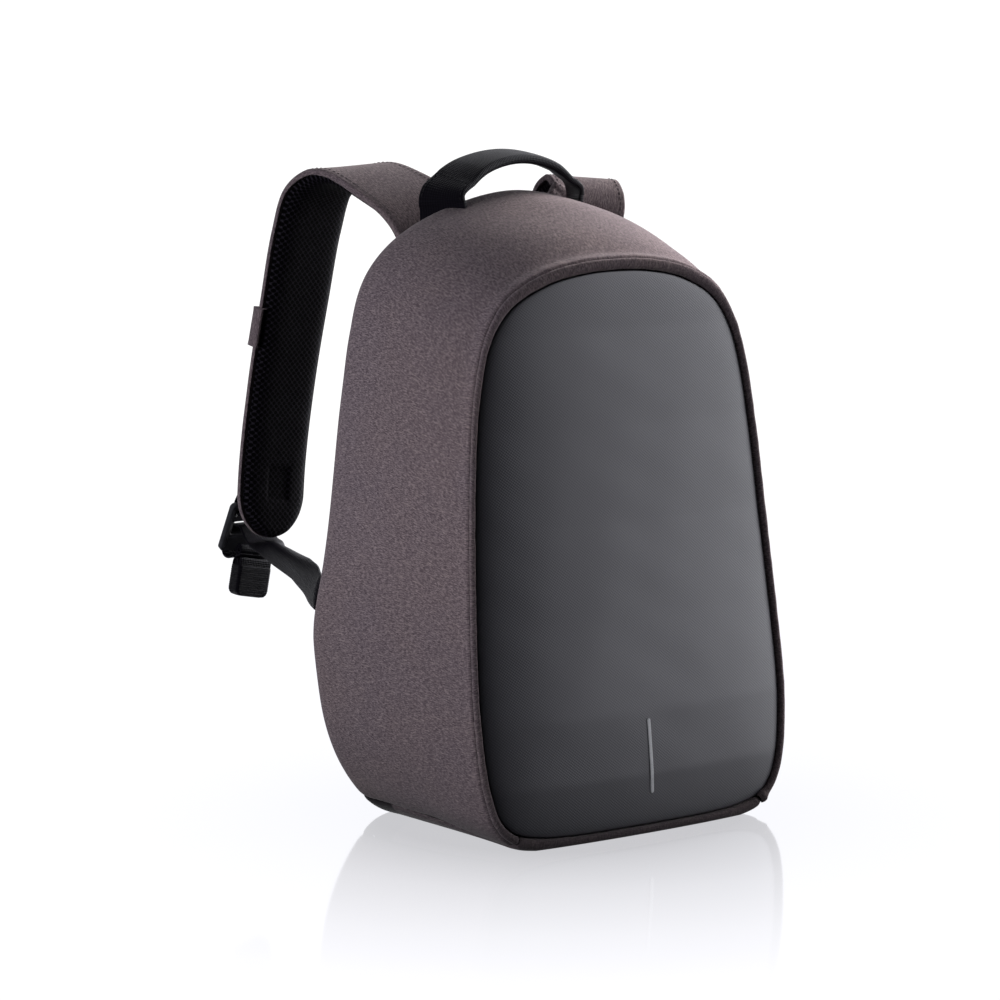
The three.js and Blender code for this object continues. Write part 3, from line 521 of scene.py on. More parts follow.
class Nodes:
    """Adds nodes to a tree; an input takes a number, a tuple or another node's output."""

    def __init__(self, tree):
        self.tree = tree

    def fill(self, socket, value):
        if isinstance(value, bpy.types.NodeSocket):
            self.tree.links.new(value, socket)
        elif socket.type == "RGBA":
            socket.default_value = (*value, 1)
        else:
            socket.default_value = value

    def node(self, kind, inputs=(), output=0, **settings):
        """Adds a node, fills its inputs (by name or index) and gives one of its outputs."""
        node = self.tree.nodes.new(kind)
        for key, value in settings.items():
            setattr(node, key, value)
        for key, value in dict(inputs).items():
            self.fill(node.inputs[key], value)
        return node.outputs[output]

    def coordinates(self, kind, along=1, turn=0):
        """Texture coordinates, stretched along Y and turned by degrees."""
        found = self.node("ShaderNodeTexCoord", output=kind)
        rotation = (0, 0, math.radians(turn))
        return self.node("ShaderNodeMapping", {"Vector": found, "Scale": (1, along, 1), "Rotation": rotation})

    def noise(self, vector, scale, detail, roughness):
        inputs = {"Vector": vector, "Scale": scale, "Detail": detail, "Roughness": roughness}
        return self.node("ShaderNodeTexNoise", inputs, "Fac")

    def cells(self, vector, scale, randomness=1.0, **settings):
        """Distances from the middles of cells."""
        inputs = {"Vector": vector, "Scale": scale, "Randomness": randomness}
        return self.node("ShaderNodeTexVoronoi", inputs, "Distance", feature="F1", **settings)

    def ramp(self, factor, *stops):
        """A colour ramp; each stop is a place and a colour, or a number for a grey."""
        colours = self.node("ShaderNodeValToRGB", {"Fac": factor}, "Color")
        elements = colours.node.color_ramp.elements
        while len(elements) < len(stops):
            elements.new(0.5)
        for element, (place, colour) in zip(elements, stops):
            element.position = place
            element.color = (*colour, 1) if isinstance(colour, tuple) else (colour, colour, colour, 1)
        return colours

    def maths(self, operation, *values):
        return self.node("ShaderNodeMath", dict(enumerate(values)), operation=operation)

    def mix(self, factor, first, second, blend="MIX"):
        inputs = {0: factor, 6: first, 7: second}
        return self.node("ShaderNodeMix", inputs, 2, data_type="RGBA", blend_type=blend)


class Shader(Nodes):
    """A node material round a principled shader."""

    def __init__(self, name, roughness=0.8, specular=0.5, sheen=0.0, sheen_roughness=0.5):
        self.material = bpy.data.materials.new(name)
        self.material.use_nodes = True
        super().__init__(self.material.node_tree)
        self.inputs = self.tree.nodes["Principled BSDF"].inputs
        self.inputs["Roughness"].default_value = roughness
        self.inputs["Specular IOR Level"].default_value = specular
        self.inputs["Sheen Weight"].default_value = sheen
        self.inputs["Sheen Roughness"].default_value = sheen_roughness

    def finish(self, colour, height, strength, distance):
        """Links the colour and the bump, and gives the material."""
        inputs = {"Strength": strength, "Distance": distance, "Height": height}
        self.fill(self.inputs["Base Color"], colour)
        self.fill(self.inputs["Normal"], self.node("ShaderNodeBump", inputs, "Normal"))
        return self.material


def tinted(colour, share):
    return tuple(c * share for c in colour)


def heather_cloth(name, dark=1.0, black_from=None):
    """Mauve grey melange cloth of crossed fibres and stray threads, black from that many metres back."""
    shader = Shader(name, roughness=0.92, specular=0.18, sheen=0.06, sheen_roughness=0.6)
    plain = shader.coordinates("Object")
    first = shader.noise(shader.coordinates("UV", 0.16, 36), 2000, 2.0, 0.65)
    second = shader.noise(shader.coordinates("UV", 0.16, -44), 2000, 2.0, 0.65)
    speck = shader.noise(plain, 620, 4.0, 0.75)
    tone = shader.noise(plain, 14, 3.0, 0.55)
    crossed = shader.maths("MULTIPLY_ADD", second, 0.34, shader.maths("MULTIPLY", first, 0.36))
    fibres = shader.maths("ADD", crossed, shader.maths("MULTIPLY", speck, 0.3))
    light, mid, deep = (0.235, 0.193, 0.206), (0.122, 0.098, 0.11), (0.052, 0.039, 0.048)
    tones = zip((0.4, 0.5, 0.6), (tinted(tone_of, dark) for tone_of in (deep, mid, light)))
    colour = shader.ramp(fibres, *tones)
    stray = shader.noise(shader.coordinates("UV", 0.12, 62), 900, 1.0, 0.5)
    crossing = shader.noise(shader.coordinates("UV", 0.1, -50), 900, 1.0, 0.5)
    lone = shader.ramp(shader.maths("MAXIMUM", stray, crossing), (0.65, 0), (0.73, 0.42))
    colour = shader.mix(lone, colour, tinted((0.3, 0.25, 0.25), dark))
    cast = shader.ramp(tone, (0.35, (0.97, 0.96, 0.98)), (0.65, (1.04, 1.01, 0.99)))
    colour = shader.mix(1.0, colour, cast, "MULTIPLY")
    # Painted shade: darker towards the floor
    height = shader.maths("MULTIPLY", shader.node("ShaderNodeSeparateXYZ", {0: plain}, "Z"), 4.0)
    low = shader.ramp(height, (0, 0.28), (0.04, 0.38), (0.1, 0.68), (0.3, 0.84), (0.75, 1))
    colour = shader.mix(1.0, colour, low, "MULTIPLY")
    if black_from is not None:
        depth = shader.node("ShaderNodeSeparateXYZ", {0: plain}, "Y")
        depth = shader.maths("MULTIPLY_ADD", depth, 4.0, 0.5)
        edge = 0.5 + 4.0 * black_from
        trim = shader.ramp(depth, (edge, 1), (edge + 0.008, (0.12, 0.12, 0.14)))
        colour = shader.mix(1.0, colour, trim, "MULTIPLY")
    return shader.finish(colour, fibres, 0.5, 0.0006)


def coated_panel(name):
    """Charcoal coated skin with a fine embossed dot pattern."""
    shader = Shader(name, roughness=0.35)
    shader.inputs["Specular Tint"].default_value = (0.96, 0.95, 1.0, 1)
    distance = shader.cells(shader.coordinates("UV", 1, 38), 690, 0.0, voronoi_dimensions="2D")
    dots = shader.ramp(distance, (0.12, 1), (0.6, 0))
    plain = shader.coordinates("Object")
    grain = shader.noise(plain, 2200, 2.0, 0.6)
    tone = shader.noise(plain, 9, 2.0, 0.5)
    base = shader.ramp(tone, (0.3, (0.0072, 0.0071, 0.0104)), (0.7, (0.0092, 0.0089, 0.0126)))
    colour = shader.mix(0.4, base, shader.mix(1.0, base, dots, "MULTIPLY"))
    height = shader.maths("ADD", dots, shader.maths("MULTIPLY", grain, 0.3))
    return shader.finish(colour, height, 0.28, 0.0003)


def spacer_mesh(name):
    """Black knitted mesh: round holes in a diamond grid, with a knit grain between them."""
    shader = Shader(name, roughness=0.75, specular=0.12)
    distance = shader.cells(shader.coordinates("UV", 1, 45), 1000 / MESH_PITCH, 0.0, voronoi_dimensions="2D")
    holes = shader.ramp(distance, (0.38, 0), (0.52, 1))
    knit = shader.noise(shader.coordinates("Object"), 1500, 2.0, 0.6)
    threads = shader.ramp(knit, (0.35, (0.006, 0.0052, 0.0078)), (0.7, (0.026, 0.0228, 0.031)))
    colour = shader.mix(holes, (0.0008, 0.0007, 0.001), threads)
    height = shader.maths("ADD", holes, shader.maths("MULTIPLY", knit, 0.25))
    return shader.finish(colour, height, 0.8, 0.0012)


def woven_tape(name, pitch=1.25, light=1.0):
    """Black polyester webbing: ribs across the tape, with a warp that crosses them."""
    shader = Shader(name, roughness=0.5, specular=0.2)
    straight = shader.coordinates("UV")
    turn = 2 * math.pi * 1000
    waves = []
    for axis, size, share in (("Y", pitch, 0.5), ("X", pitch * 1.1, 0.35)):
        place = shader.node("ShaderNodeSeparateXYZ", {0: straight}, axis)
        wave = shader.maths("SINE", shader.maths("MULTIPLY", place, turn / size))
        waves.append(shader.maths("MULTIPLY", wave, share))
    fray = shader.noise(shader.coordinates("Object"), 1700, 2.0, 0.6)
    height = shader.maths("ADD", shader.maths("ADD", *waves), shader.maths("MULTIPLY", fray, 0.5))
    deep, high = tinted((0.0012, 0.001, 0.0018), light), tinted((0.0062, 0.0053, 0.0088), light)
    colour = shader.ramp(shader.maths("MULTIPLY_ADD", height, 0.45, 0.35), (0, deep), (1, high))
    return shader.finish(colour, height, 0.55, 0.0004)


def moulded_plastic(name):
    """Black acetal with a fine spark-eroded skin and patches rubbed lighter."""
    shader = Shader(name, roughness=0.3)
    plain = shader.coordinates("Object")
    grain = shader.noise(plain, 2600, 2.0, 0.55)
    scuff = shader.noise(plain, 160, 4.0, 0.6)
    shader.fill(shader.inputs["Roughness"], shader.ramp(scuff, (0.3, 0.26), (0.7, 0.42)))
    colour = shader.ramp(scuff, (0.4, (0.014, 0.014, 0.017)), (0.75, (0.028, 0.028, 0.033)))
    return shader.finish(colour, grain, 0.15, 0.0002)


def reflective_foil(name):
    """Light grey reflective print with a fine bead texture."""
    shader = Shader(name, roughness=0.38, specular=0.6)
    beads = shader.cells(shader.coordinates("Object"), 2400)
    colour = shader.ramp(beads, (0.1, (0.56, 0.57, 0.6)), (0.8, (0.40, 0.41, 0.44)))
    return shader.finish(colour, beads, 0.3, 0.0002)


def sewing_thread(name, base):
    """Twisted polyester thread."""
    shader = Shader(name, roughness=0.6, specular=0.4)
    inputs = {"Scale": 900, "Vector": shader.coordinates("Object")}
    twist = shader.node("ShaderNodeTexWave", inputs, "Fac", wave_type="BANDS", bands_direction="DIAGONAL")
    colour = shader.ramp(twist, (0.2, tinted(base, 0.55)), (0.8, base))
    return shader.finish(colour, twist, 0.4, 0.0002)


cloth = heather_cloth("heather_cloth")
# Painted shade: the straps' cloth is the shell's cloth made darker
shaded_strap_cloth = heather_cloth("heather_cloth_strap_painted_shade", 0.8)
# Painted shade: the rim's cloth is the shell's cloth made darker
shaded_rim_cloth = heather_cloth("heather_cloth_rim_painted_shade", 0.87)
base_cloth = heather_cloth("heather_cloth_base", 1.0, 0.034)
skin = coated_panel("coated_panel")
air_mesh = spacer_mesh("spacer_mesh")
tape = woven_tape("woven_tape")
elastic = woven_tape("ribbed_elastic", 0.9, 0.9)
plastic = moulded_plastic("moulded_plastic")
foil = reflective_foil("reflective_foil")
dark_thread = sewing_thread("dark_thread", (0.03, 0.03, 0.034))
cloth_thread = sewing_thread("cloth_thread", (0.10, 0.085, 0.092))


# Stitches
def stitches(name, lines, material, length=2.6, pitch=3.9, radius=0.3):
    """Short threads along lines, each a list of (point, normal), in one mesh."""
    vertices, faces = [], []
    stops = length * np.array([0, 0.16, 0.5, 0.84, 1])
    lifts = np.array([-0.3, 0.1, 0.25, 0.1, -0.3]) * radius / 0.3
    sizes = np.array([0.45, 0.9, 1, 0.9, 0.45]) * radius
    sides, rings = 6, len(stops)
    for line in lines:
        points, normals = (np.array(rows, float) for rows in zip(*line))
        along = np.concatenate([[0], np.cumsum(np.linalg.norm(np.diff(points, axis=0), axis=1))])
        count = int((along[-1] - length) // pitch) + 1
        margin = (along[-1] - (count - 1) * pitch - length) / 2
        for i in range(count):
            spots = margin + i * pitch + stops
            place = np.stack([np.interp(spots, along, points[:, k]) for k in range(3)], -1)
            up = np.stack([np.interp(spots, along, normals[:, k]) for k in range(3)], -1)
            up /= np.linalg.norm(up, axis=1, keepdims=True)
            way = place[-1] - place[0]
            way /= np.linalg.norm(way)
            first = len(vertices)
            for p, n, r, h in zip(place, up, sizes, lifts):
                side = np.cross(way, n)
                side /= np.linalg.norm(side)
                for angle in np.arange(sides) * 2 * math.pi / sides:
                    vertices.append(p + n * h + r * (math.cos(angle) * side + math.sin(angle) * n))
            faces += [face[::-1] for face in grid_faces(rings, sides, True, first)]
            faces.append(tuple(first + j for j in range(sides))[::-1])
            faces.append(tuple(first + (rings - 1) * sides + j for j in range(sides)))
    finish_piece(link_mesh(name, vertices, faces, np.zeros((len(vertices), 2))), material, ())


def seam_line(frames, picks):
    """A line for stitches on a strap, from (place, millimetres across, height) picks."""
    at, _, across, outer = frames
    return [(at[i] + across[i] * a + outer[i] * n, outer[i]) for i, a, n in picks]


# The bag: cloth thicknesses and how finely its surfaces are cut
SHELL_CLOTH = 1.4
RIM_CLOTH = 1.1
GUSSET_CLOTH = 1.2
PANEL_SKIN = 1.6
SHELL_COLUMNS = 460
BASE_COLUMNS = 150
PANEL_COLUMNS = 420
BACK_COLUMNS = 400
PARTING = 0.3 * SEAM_GAP / (BAG_WIDTH + BAG_HEIGHT)
SHELL_LOOP = np.linspace(BASE_SHARE + PARTING, 1 - BASE_SHARE - PARTING, SHELL_COLUMNS)


def near_seam(distance, depth, width):
    """How far a seam pulls cloth in at a distance from it."""
    return depth * np.exp(-(np.asarray(distance) / width) ** 2)


def rim_profile():
    """The rim's roll as smooth rows, and the row at which its crease lies."""
    rows = smooth_rows(RIM_ROLL, 90)
    crease = int(np.argmax((rows[:, 0] >= CREASE) & (np.arange(len(rows)) > 30)))
    return rows, crease


def build_shell():
    shares = SHELL_LOOP
    roll, crease = rim_profile()
    front = rim_points(shares, roll[crease::2])
    grid = np.concatenate([front, shell_points(shares, smooth_rows(SHELL_ROWS, 84)[1:])])
    softened = slice(3, len(front) + 6)
    for _ in range(12):
        middle = (grid[:-2] + 2 * grid[1:-1] + grid[2:]) / 4
        grid[1:-1][softened] = middle[softened]
    uv = grid_uv(grid)
    across, along = uv[..., 1], uv[..., 0]
    pull = near_seam(across, 0.9, 1.1)
    pucker = 0.22 * np.exp(-across / 7) * (ripple(uv * [1, 0.15], 9, 3, 2) + 0.3)
    inside = np.clip(across / 40, 0, 1) * np.clip((across.max() - across) / 30, 0, 1)
    soft = 0.9 * ripple(uv, 120, 5, 2) * inside
    ends = np.minimum(along, along.max() - along)
    pull += near_seam(ends, 1.1, 1.8)
    grid = pushed(grid, soft + pucker - pull)
    grid[..., 2] = np.maximum(grid[..., 2], 1.2)
    finish_piece(cloth_wall("shell_cloth", grid, SHELL_CLOTH, uv), cloth, ("side_shell",))


def build_rim():
    shares = SHELL_LOOP
    roll, crease = rim_profile()
    grid = rim_points(shares, np.concatenate([roll[:crease:3], roll[crease:crease + 1]]))
    uv = grid_uv(grid)
    across, along = uv[..., 1], uv[..., 0]
    pull = near_seam(across.max(0)[None] - across, 0.9, 1.0)
    kink = 1.5 * near_seam(along - 3, 1, 3) * np.clip(across / 8, 0, 1)
    soft = 0.16 * ripple(uv * [1, 0.3], 16, 9, 2) + kink
    grid = pushed(grid, soft - pull)
    finish_piece(cloth_wall("rim_roll", grid, RIM_CLOTH, uv), shaded_rim_cloth, ("rim_binding",))


def build_base():
    shares = np.linspace(-BASE_SHARE, BASE_SHARE, BASE_COLUMNS)
    roll = rim_points(shares, smooth_rows(RIM_ROLL, 24))
    under = shell_points(shares, smooth_rows(SHELL_ROWS, 60)[1:])
    grid = np.concatenate([roll, under])
    uv = grid_uv(grid)
    ends = np.minimum(uv[..., 0], uv[..., 0].max() - uv[..., 0])
    grid = pushed(grid, -near_seam(ends, 1.0, 1.8))
    grid[..., 2] = np.maximum(grid[..., 2], 0.15)
    finish_piece(cloth_wall("base_cloth", grid, RIM_CLOTH, uv), base_cloth, ("base_panel",))


def dome(radius):
    """How far the panel stands out at a share of the way from its middle to its edge."""
    return PANEL_DOME * (1 - np.clip(radius, 0, 1) ** 2.5) ** 0.6


PANEL_MIDDLE = np.array([0, PANEL_BASE + PANEL_HEIGHT / 2])


def build_panel():
    shares = np.linspace(1, 0, PANEL_COLUMNS, endpoint=False)
    edge = panel_outline.at(shares) + panel_outline.inward(shares) * PANEL_GAP
    radii = 1 - np.concatenate([np.linspace(0, 0.03, 10), np.linspace(0.04, 0.985, 70)])
    rows = []
    for back in (6, 3.4, 1.2):
        y = front_at(edge[:, 0], edge[:, 1]) + back
        rows.append(np.stack([edge[:, 0], y, edge[:, 1]], -1))
    for radius in radii:
        xz = PANEL_MIDDLE + (edge - PANEL_MIDDLE) * radius
        y = front_at(xz[:, 0], xz[:, 1]) - dome(radius)
        rows.append(np.stack([xz[:, 0], y, xz[:, 1]], -1))
    grid = np.array(rows)
    flat = np.stack([grid[..., 0], grid[..., 2]], -1)
    inside = np.clip((1 - np.linalg.norm((flat - PANEL_MIDDLE) / [122, 176], axis=-1)) * 4, 0, 1)
    grid[..., 1] += 0.25 * ripple(flat, 90, 21, 2) * inside
    panel = cloth_wall("panel_skin", grid, PANEL_SKIN, flat, closed=True, cap=True)
    finish_piece(panel, skin, ("front_panel",))


def panel_surface(z):
    """The panel's front at a height, on its middle line."""
    reach = np.abs(z - PANEL_MIDDLE[1]) / (PANEL_HEIGHT / 2 - PANEL_GAP)
    return front_at(0.0, z) - dome(reach)


def build_bar():
    heights = np.linspace(BAR_BASE, BAR_BASE + BAR_HEIGHT, 12)
    lean = np.linspace(3.2, 0.8, 12)
    heights = heights - 1.4
    route = Route([(x, float(panel_surface(z)), z) for x, z in zip(lean, heights)], [(1, 0, 0)] * 12)
    shares = np.concatenate([[0, 0.004, 0.012, 0.022], np.linspace(0.05, 0.95, 22), [0.978, 0.988, 0.996, 1]])

    def section(_, share):
        end = min(share, 1 - share) * BAR_HEIGHT
        half = 1.2 * math.sqrt(max(1 - max(1 - end / 1.1, 0) ** 2, 0.05))
        return flat_section(half, 0.15, 0.75, 0.3, 5)

    finish_piece(sweep("bar_reflective", route, shares, section), foil, ("reflective_bar",))


def back_ring(inset, behind, shares):
    """Points round the back, moved in from the outline and out behind the back's surface."""
    body = body_outline.at(shares) + body_outline.inward(shares) * inset
    y = back_at(body_outline.at(shares)[:, 1]) + behind
    return np.stack([body[:, 0], y, body[:, 1]], -1)


def build_back():
    shares = np.linspace(0, 1, BACK_COLUMNS, endpoint=False)
    start = SHELL_EDGE + 1.2 * SEAM_GAP
    end = start + GUSSET_WIDTH
    corners = [(start + 0.4, -3.0), (start, -1.2), (start + 0.9, 0.7), ((start + end) / 2, 1.6),
               (end - 0.6, 0.6), (end, -1.4), (end + 0.05, -4.6), (end + 3.5, -7.2)]
    profile = Path(corners).at(np.linspace(0, 1, 26))
    grid = np.array([back_ring(inset, behind, shares) for inset, behind in profile])
    uv = grid_uv(grid)
    grid = pushed(grid, 0.2 * ripple(uv * [1, 0.3], 22, 31, 2), True)
    gusset = cloth_wall("gusset_cloth", grid, GUSSET_CLOTH, uv, closed=True)
    finish_piece(gusset, tape, ("back_gusset",))

    middle = np.array([0, BAG_HEIGHT / 2])
    edge = back_ring(end + SEAM_GAP, 0, shares)[:, [0, 2]]
    rounding = ((1, -4.5), (1, -2), (0.998, 0), (0.992, 1.6), (0.982, 2.7), (0.965, 3.6), (0.93, 4.4),
                (0.87, 4.9), (0.75, 5.3), (0.55, 5.4), (0.35, 5.4), (0.18, 5.4), (0.05, 5.4))
    profile = Path(np.array(rounding) * [110, 1]).at(np.linspace(0, 1, 84)) / [110, 1]
    front = np.stack([np.linspace(0.1, 0.97, 8), np.full(8, BACK_SWELL - 8.4)], -1)
    profile = np.concatenate([front, profile])
    rows = []
    for radius, behind in profile:
        xz = middle + (edge - middle) * radius
        rows.append(np.stack([xz[:, 0], back_at(xz[:, 1]) + behind, xz[:, 1]], -1))
    grid = np.array(rows)
    flat = np.stack([grid[..., 0], grid[..., 2]], -1)
    grid[9:, :, 1] += 0.35 * ripple(flat[9:], 70, 41, 2)
    finish_piece(tube("back_pad", grid, flat), air_mesh, ("back_panel",))

    ring = [(point, (0, 1, 0)) for point in back_ring(end - 2.0, 1.35, np.linspace(0, 1, 300))]
    stitches("gusset_stitches", [ring], dark_thread, 3.0, 4.4)


# Handle
def handle_route():
    seat = body_top(HANDLE_SPAN / 2) + HANDLE_SEAT
    depth = float(back_at(BAG_HEIGHT)) - HANDLE_INSET
    foot = ((-0.955, -0.36, (0.34, -0.86, 0.2), 17.2, 1), (-0.96, 0, (0.34, -0.86, 0.2), 17.4, 1),
            (-0.975, 0.155, (0.38, -0.88, 0.16), 17, 1))
    half = [*foot, *HANDLE[2:]]
    mirrored = [(-out, up, (-a[0], a[1], a[2]), width, thick) for out, up, a, width, thick in half[:-1][::-1]]
    rows = half + mirrored
    points = [(out * HANDLE_SPAN / 2, depth, seat + up * HANDLE_RISE) for out, up, _, _, _ in rows]
    route = Route(points, [a for _, _, a, _, _ in rows])
    return route, [r[3] for r in rows], [r[4] for r in rows]


def build_handle():
    route, widths, thicks = handle_route()
    shares = np.linspace(0, 1, 120)
    half = route.value(widths, shares)
    thick = route.value(thicks, shares) * HANDLE_THICKNESS / 2
    rolled = np.clip((route.value(thicks, shares) - 1) / 0.9, 0, 1)

    def section(i, _):
        corners = flat_section(half[i], -thick[i], thick[i], 0.7 + 2.0 * rolled[i], 13, 0, 5)
        shaped = []
        for a, n in corners:
            crown = 0.5 * rolled[i] * (1 - (a / half[i]) ** 2)
            groove = 0.5 * rolled[i] * math.exp(-((a / half[i]) / 0.06) ** 2) if n < 0 else 0
            shaped.append((a, n + math.copysign(crown, n) + groove))
        return shaped

    finish_piece(sweep("grip", route, shares, section), tape, ("handle",))
    frames = route.frames(shares)
    height, reach = thick + 0.08, half - 2.4
    lines = [seam_line(frames, [(i, side * reach[i], height[i]) for i in range(first, first + 12)])
             for first in (12, 95) for side in (-1, 1)]
    for i in (24, 94):
        lines.append(seam_line(frames, [(i, a, height[i]) for a in np.linspace(-reach[i], reach[i], 12)]))
    stitches("grip_stitches", lines, dark_thread, 2.2, 3.3, 0.28)


# Straps
def strap_route(table, reach):
    seat = BACK_SWELL + COVER_THICKNESS + STRAP_GAP + GAP - 0.2
    points = [(out * BAG_WIDTH / 2, float(back_at(min(up, 1) * BAG_HEIGHT)) + seat + behind * reach,
               up * BAG_HEIGHT) for out, behind, up, _ in table]
    return Route(points, [a for _, _, _, a in table])


def strap_half(length, distance, start):
    """Half width of a strap that tapers a little and ends round."""
    left = np.maximum(length - distance, 0)
    half = start - STRAP_TAPER * distance / length
    reach = np.clip(1 - left / STRAP_END_RADIUS, 0, 1)
    return half * np.sqrt(np.maximum(1 - reach**2, 0.012))


def build_strap(side, table, reach, pad_nodes, cover_nodes):
    route = strap_route(table, reach)
    length = route.path.length
    body = np.linspace(0, 1 - STRAP_END_RADIUS / length, 260)
    tip = 1 - (STRAP_END_RADIUS / length) * (1 - np.sin(np.linspace(0, math.pi / 2, 34)[1:]))
    shares = np.concatenate([body, tip])
    half = strap_half(length, shares * length, STRAP_HALF)
    wobble = ripple(np.stack([shares * length, shares * 0], -1), 60, 51 if side == "left" else 52, 2)

    def sewn(across, share):
        """A box of stitches that pulls the pad in where the webbing is sewn on behind."""
        away = (1 - share) * length
        inside = min((8 - abs(across)) / 0.9, (min(away - 26, 48 - away)) / 0.9)
        edge = math.exp(-(inside / 1.1) ** 2)
        return 1.2 * min(max(inside, 0), 1) + 0.7 * edge

    def pad_section(i, share):
        inner = max(half[i] - 0.9, 1.0)
        squeeze = min(1.0, half[i] / 14)
        corners = []
        for t in np.linspace(-1, 1, 47):
            crown = (1 - abs(t) ** 5) ** 0.55
            depth = (6.8 + 0.35 * wobble[i]) * crown * squeeze - sewn(inner * t, share)
            corners.append((inner * t, -1.6 - max(depth, 0)))
        for t in np.linspace(1, -1, 17)[1:-1]:
            corners.append((inner * t, -0.1 - 0.3 * abs(t) ** 3))
        return corners

    u = half[:, None] * np.concatenate([np.linspace(-1, 1, 47), np.linspace(1, -1, 17)[1:-1]])
    uvs = np.stack([u, np.broadcast_to((shares * length)[:, None], u.shape)], -1)
    pad = sweep(f"strap_{side}_mesh", route, shares, pad_section, uvs)
    finish_piece(pad, air_mesh, pad_nodes)

    def cover_section(i, _):
        outer_half = half[i] + 0.9
        low = -1.0 * min(1.0, half[i] / 14)
        top = STRAP_GAP + COVER_THICKNESS - 0.1 + 0.12 * wobble[i]
        edge = [(0, low), (0.5, low - 0.3), (0.85, low + 0.3), (0.95, 0.3 * top), (0.6, top - 0.9),
                (-0.3, top)]
        corners = [(outer_half - 0.2 + 0.7 * out, n) for out, n in edge]
        corners += [(outer_half * t, top + 0.35 * (1 - t * t)) for t in np.linspace(0.95, -0.95, 21)]
        corners += [(-(outer_half + out), n) for out, n in edge[::-1]]
        corners += [(outer_half * t, STRAP_GAP - 0.7) for t in np.linspace(-0.985, 0.985, 15)]
        return corners

    cover = sweep(f"strap_{side}_cloth", route, shares, cover_section)
    finish_piece(cover, shaded_strap_cloth, cover_nodes)

    top = STRAP_GAP + COVER_THICKNESS + 0.1
    reach = np.maximum(half - 2.8, 0.4)
    frames = route.frames(shares)
    lines = [seam_line(frames, [(i, edge * reach[i], top) for i in range(4, len(shares) - 2)])
             for edge in (-1, 1)]
    stitches(f"strap_{side}_stitches", lines, cloth_thread, 2.8, 4.2, 0.22)
    return route


def build_strap_band(route):
    length = route.path.length
    shares = np.linspace(0, 1, 1200)
    at, along, _, _ = route.frames(shares)
    start = float(shares[np.argmax((at[:, 2] < BAND_TOP) & (along[:, 2] < 0))])
    part = np.linspace(start, start + BAND_HEIGHT / length, 26)
    low = STRAP_GAP + COVER_THICKNESS + 0.45
    half = STRAP_HALF + 2.4

    def section(i, _):
        roll = 0.35 * math.exp(-((min(i, 25 - i)) / 1.6) ** 2)
        thick = 1.5 + roll
        corners = [(half - 3.4, low), (half - 3.0, low + thick * 0.5), (half - 3.4, low + thick)]
        corners += [(half * t, low + thick + 0.1) for t in np.linspace(0.84, -0.9, 15)]
        corners += [(-half + 0.9, low + thick), (-half - 0.5, low + thick - 1.2), (-half - 0.75, 0.5),
                    (-half - 0.5, -5.0), (-half + 1.2, -5.2)]
        corners += [(-(half - 1.0), -4.9), (-(half - 0.5), 0.4), (-(half - 1.2), low)]
        corners += [(half * t, low) for t in np.linspace(-0.85, 0.8, 9)]
        return corners

    finish_piece(sweep("strap_left_loop", route, part, section), shaded_strap_cloth, ("strap_left_band",))
    frames = route.frames(part)
    reach = np.linspace(-half + 3, half - 5, 20)
    lines = [seam_line(frames, [(i, a, low + 1.75) for a in reach]) for i in (3, 22)]
    stitches("strap_left_loop_stitches", lines, cloth_thread, 2.6, 3.8, 0.27)


# Adjusters
def rounded_outline(left, bottom, width, height, radius, steps):
    """Corners of a rectangle with rounded corners."""
    points = []
    for cx, cy, start in (
        (left + width - radius, bottom + radius, 1.5), (left + width - radius, bottom + height - radius, 0),
        (left + radius, bottom + height - radius, 0.5), (left + radius, bottom + radius, 1),
    ):
        for t in np.linspace(start * math.pi, (start + 0.5) * math.pi, steps):
            points.append((cx + radius * math.cos(t), cy + radius * math.sin(t)))
    return points


def plate(name, outlines, thickness, bevel, matrix):
    """A flat plate with holes and rounded edges, through a filled curve."""
    data = bpy.data.curves.new(name, "CURVE")
    data.dimensions = "2D"
    data.fill_mode = "BOTH"
    for points in outlines:
        spline = data.splines.new("POLY")
        spline.points.add(len(points) - 1)
        spline.use_cyclic_u = True
        for point, (x, y) in zip(spline.points, points):
            point.co = (x * MM, y * MM, 0, 1)
    data.extrude = (thickness / 2 - bevel) * MM
    data.bevel_depth = bevel * MM
    data.bevel_resolution = 3
    data.offset = -bevel * MM
    source = bpy.data.objects.new(name + "_source", data)
    bpy.context.collection.objects.link(source)
    bpy.context.view_layer.update()
    mesh = bpy.data.meshes.new_from_object(source.evaluated_get(bpy.context.evaluated_depsgraph_get()))
    bpy.data.objects.remove(source)
    bpy.data.curves.remove(data)
    mesh.transform(matrix)
    mesh.name = name
    return mesh


def join_meshes(name, meshes):
    vertices, faces = [], []
    for mesh in meshes:
        start = len(vertices)
        vertices += [v.co / MM for v in mesh.vertices]
        faces += [tuple(start + k for k in p.vertices) for p in mesh.polygons]
        bpy.data.meshes.remove(mesh)
    return link_mesh(name, np.array([tuple(v) for v in vertices]), faces, np.zeros((len(vertices), 2)))


def rod_mesh(start, end, radius, matrix, sides=14):
    """A rod with rounded ends between two local points, as a mesh."""
    start, end = np.array(start, float), np.array(end, float)
    way = end - start
    size = np.linalg.norm(way)
    way = way / size
    side = np.array([0, 1.0, 0]) if abs(way[1]) < 0.9 else np.array([1.0, 0, 0])
    other = np.cross(way, side)
    rings = []
    for share, swell in ((0, 0.3), (0.01, 0.8), (0.03, 1), (0.5, 1), (0.97, 1), (0.99, 0.8), (1, 0.3)):
        centre = start + way * size * share
        rings.append([centre + radius * swell * (math.cos(t) * side + math.sin(t) * other)
                      for t in np.linspace(0, 2 * math.pi, sides, endpoint=False)])
    rings = np.array(rings)
    faces = grid_faces(len(rings), sides, True)
    faces.append(tuple(range(sides)))
    faces.append(tuple((len(rings) - 1) * sides + j for j in range(sides))[::-1])
    mesh = bpy.data.meshes.new("rod")
    mesh.from_pydata((rings.reshape(-1, 3) * MM).tolist(), [], faces)
    mesh.transform(matrix)
    return mesh


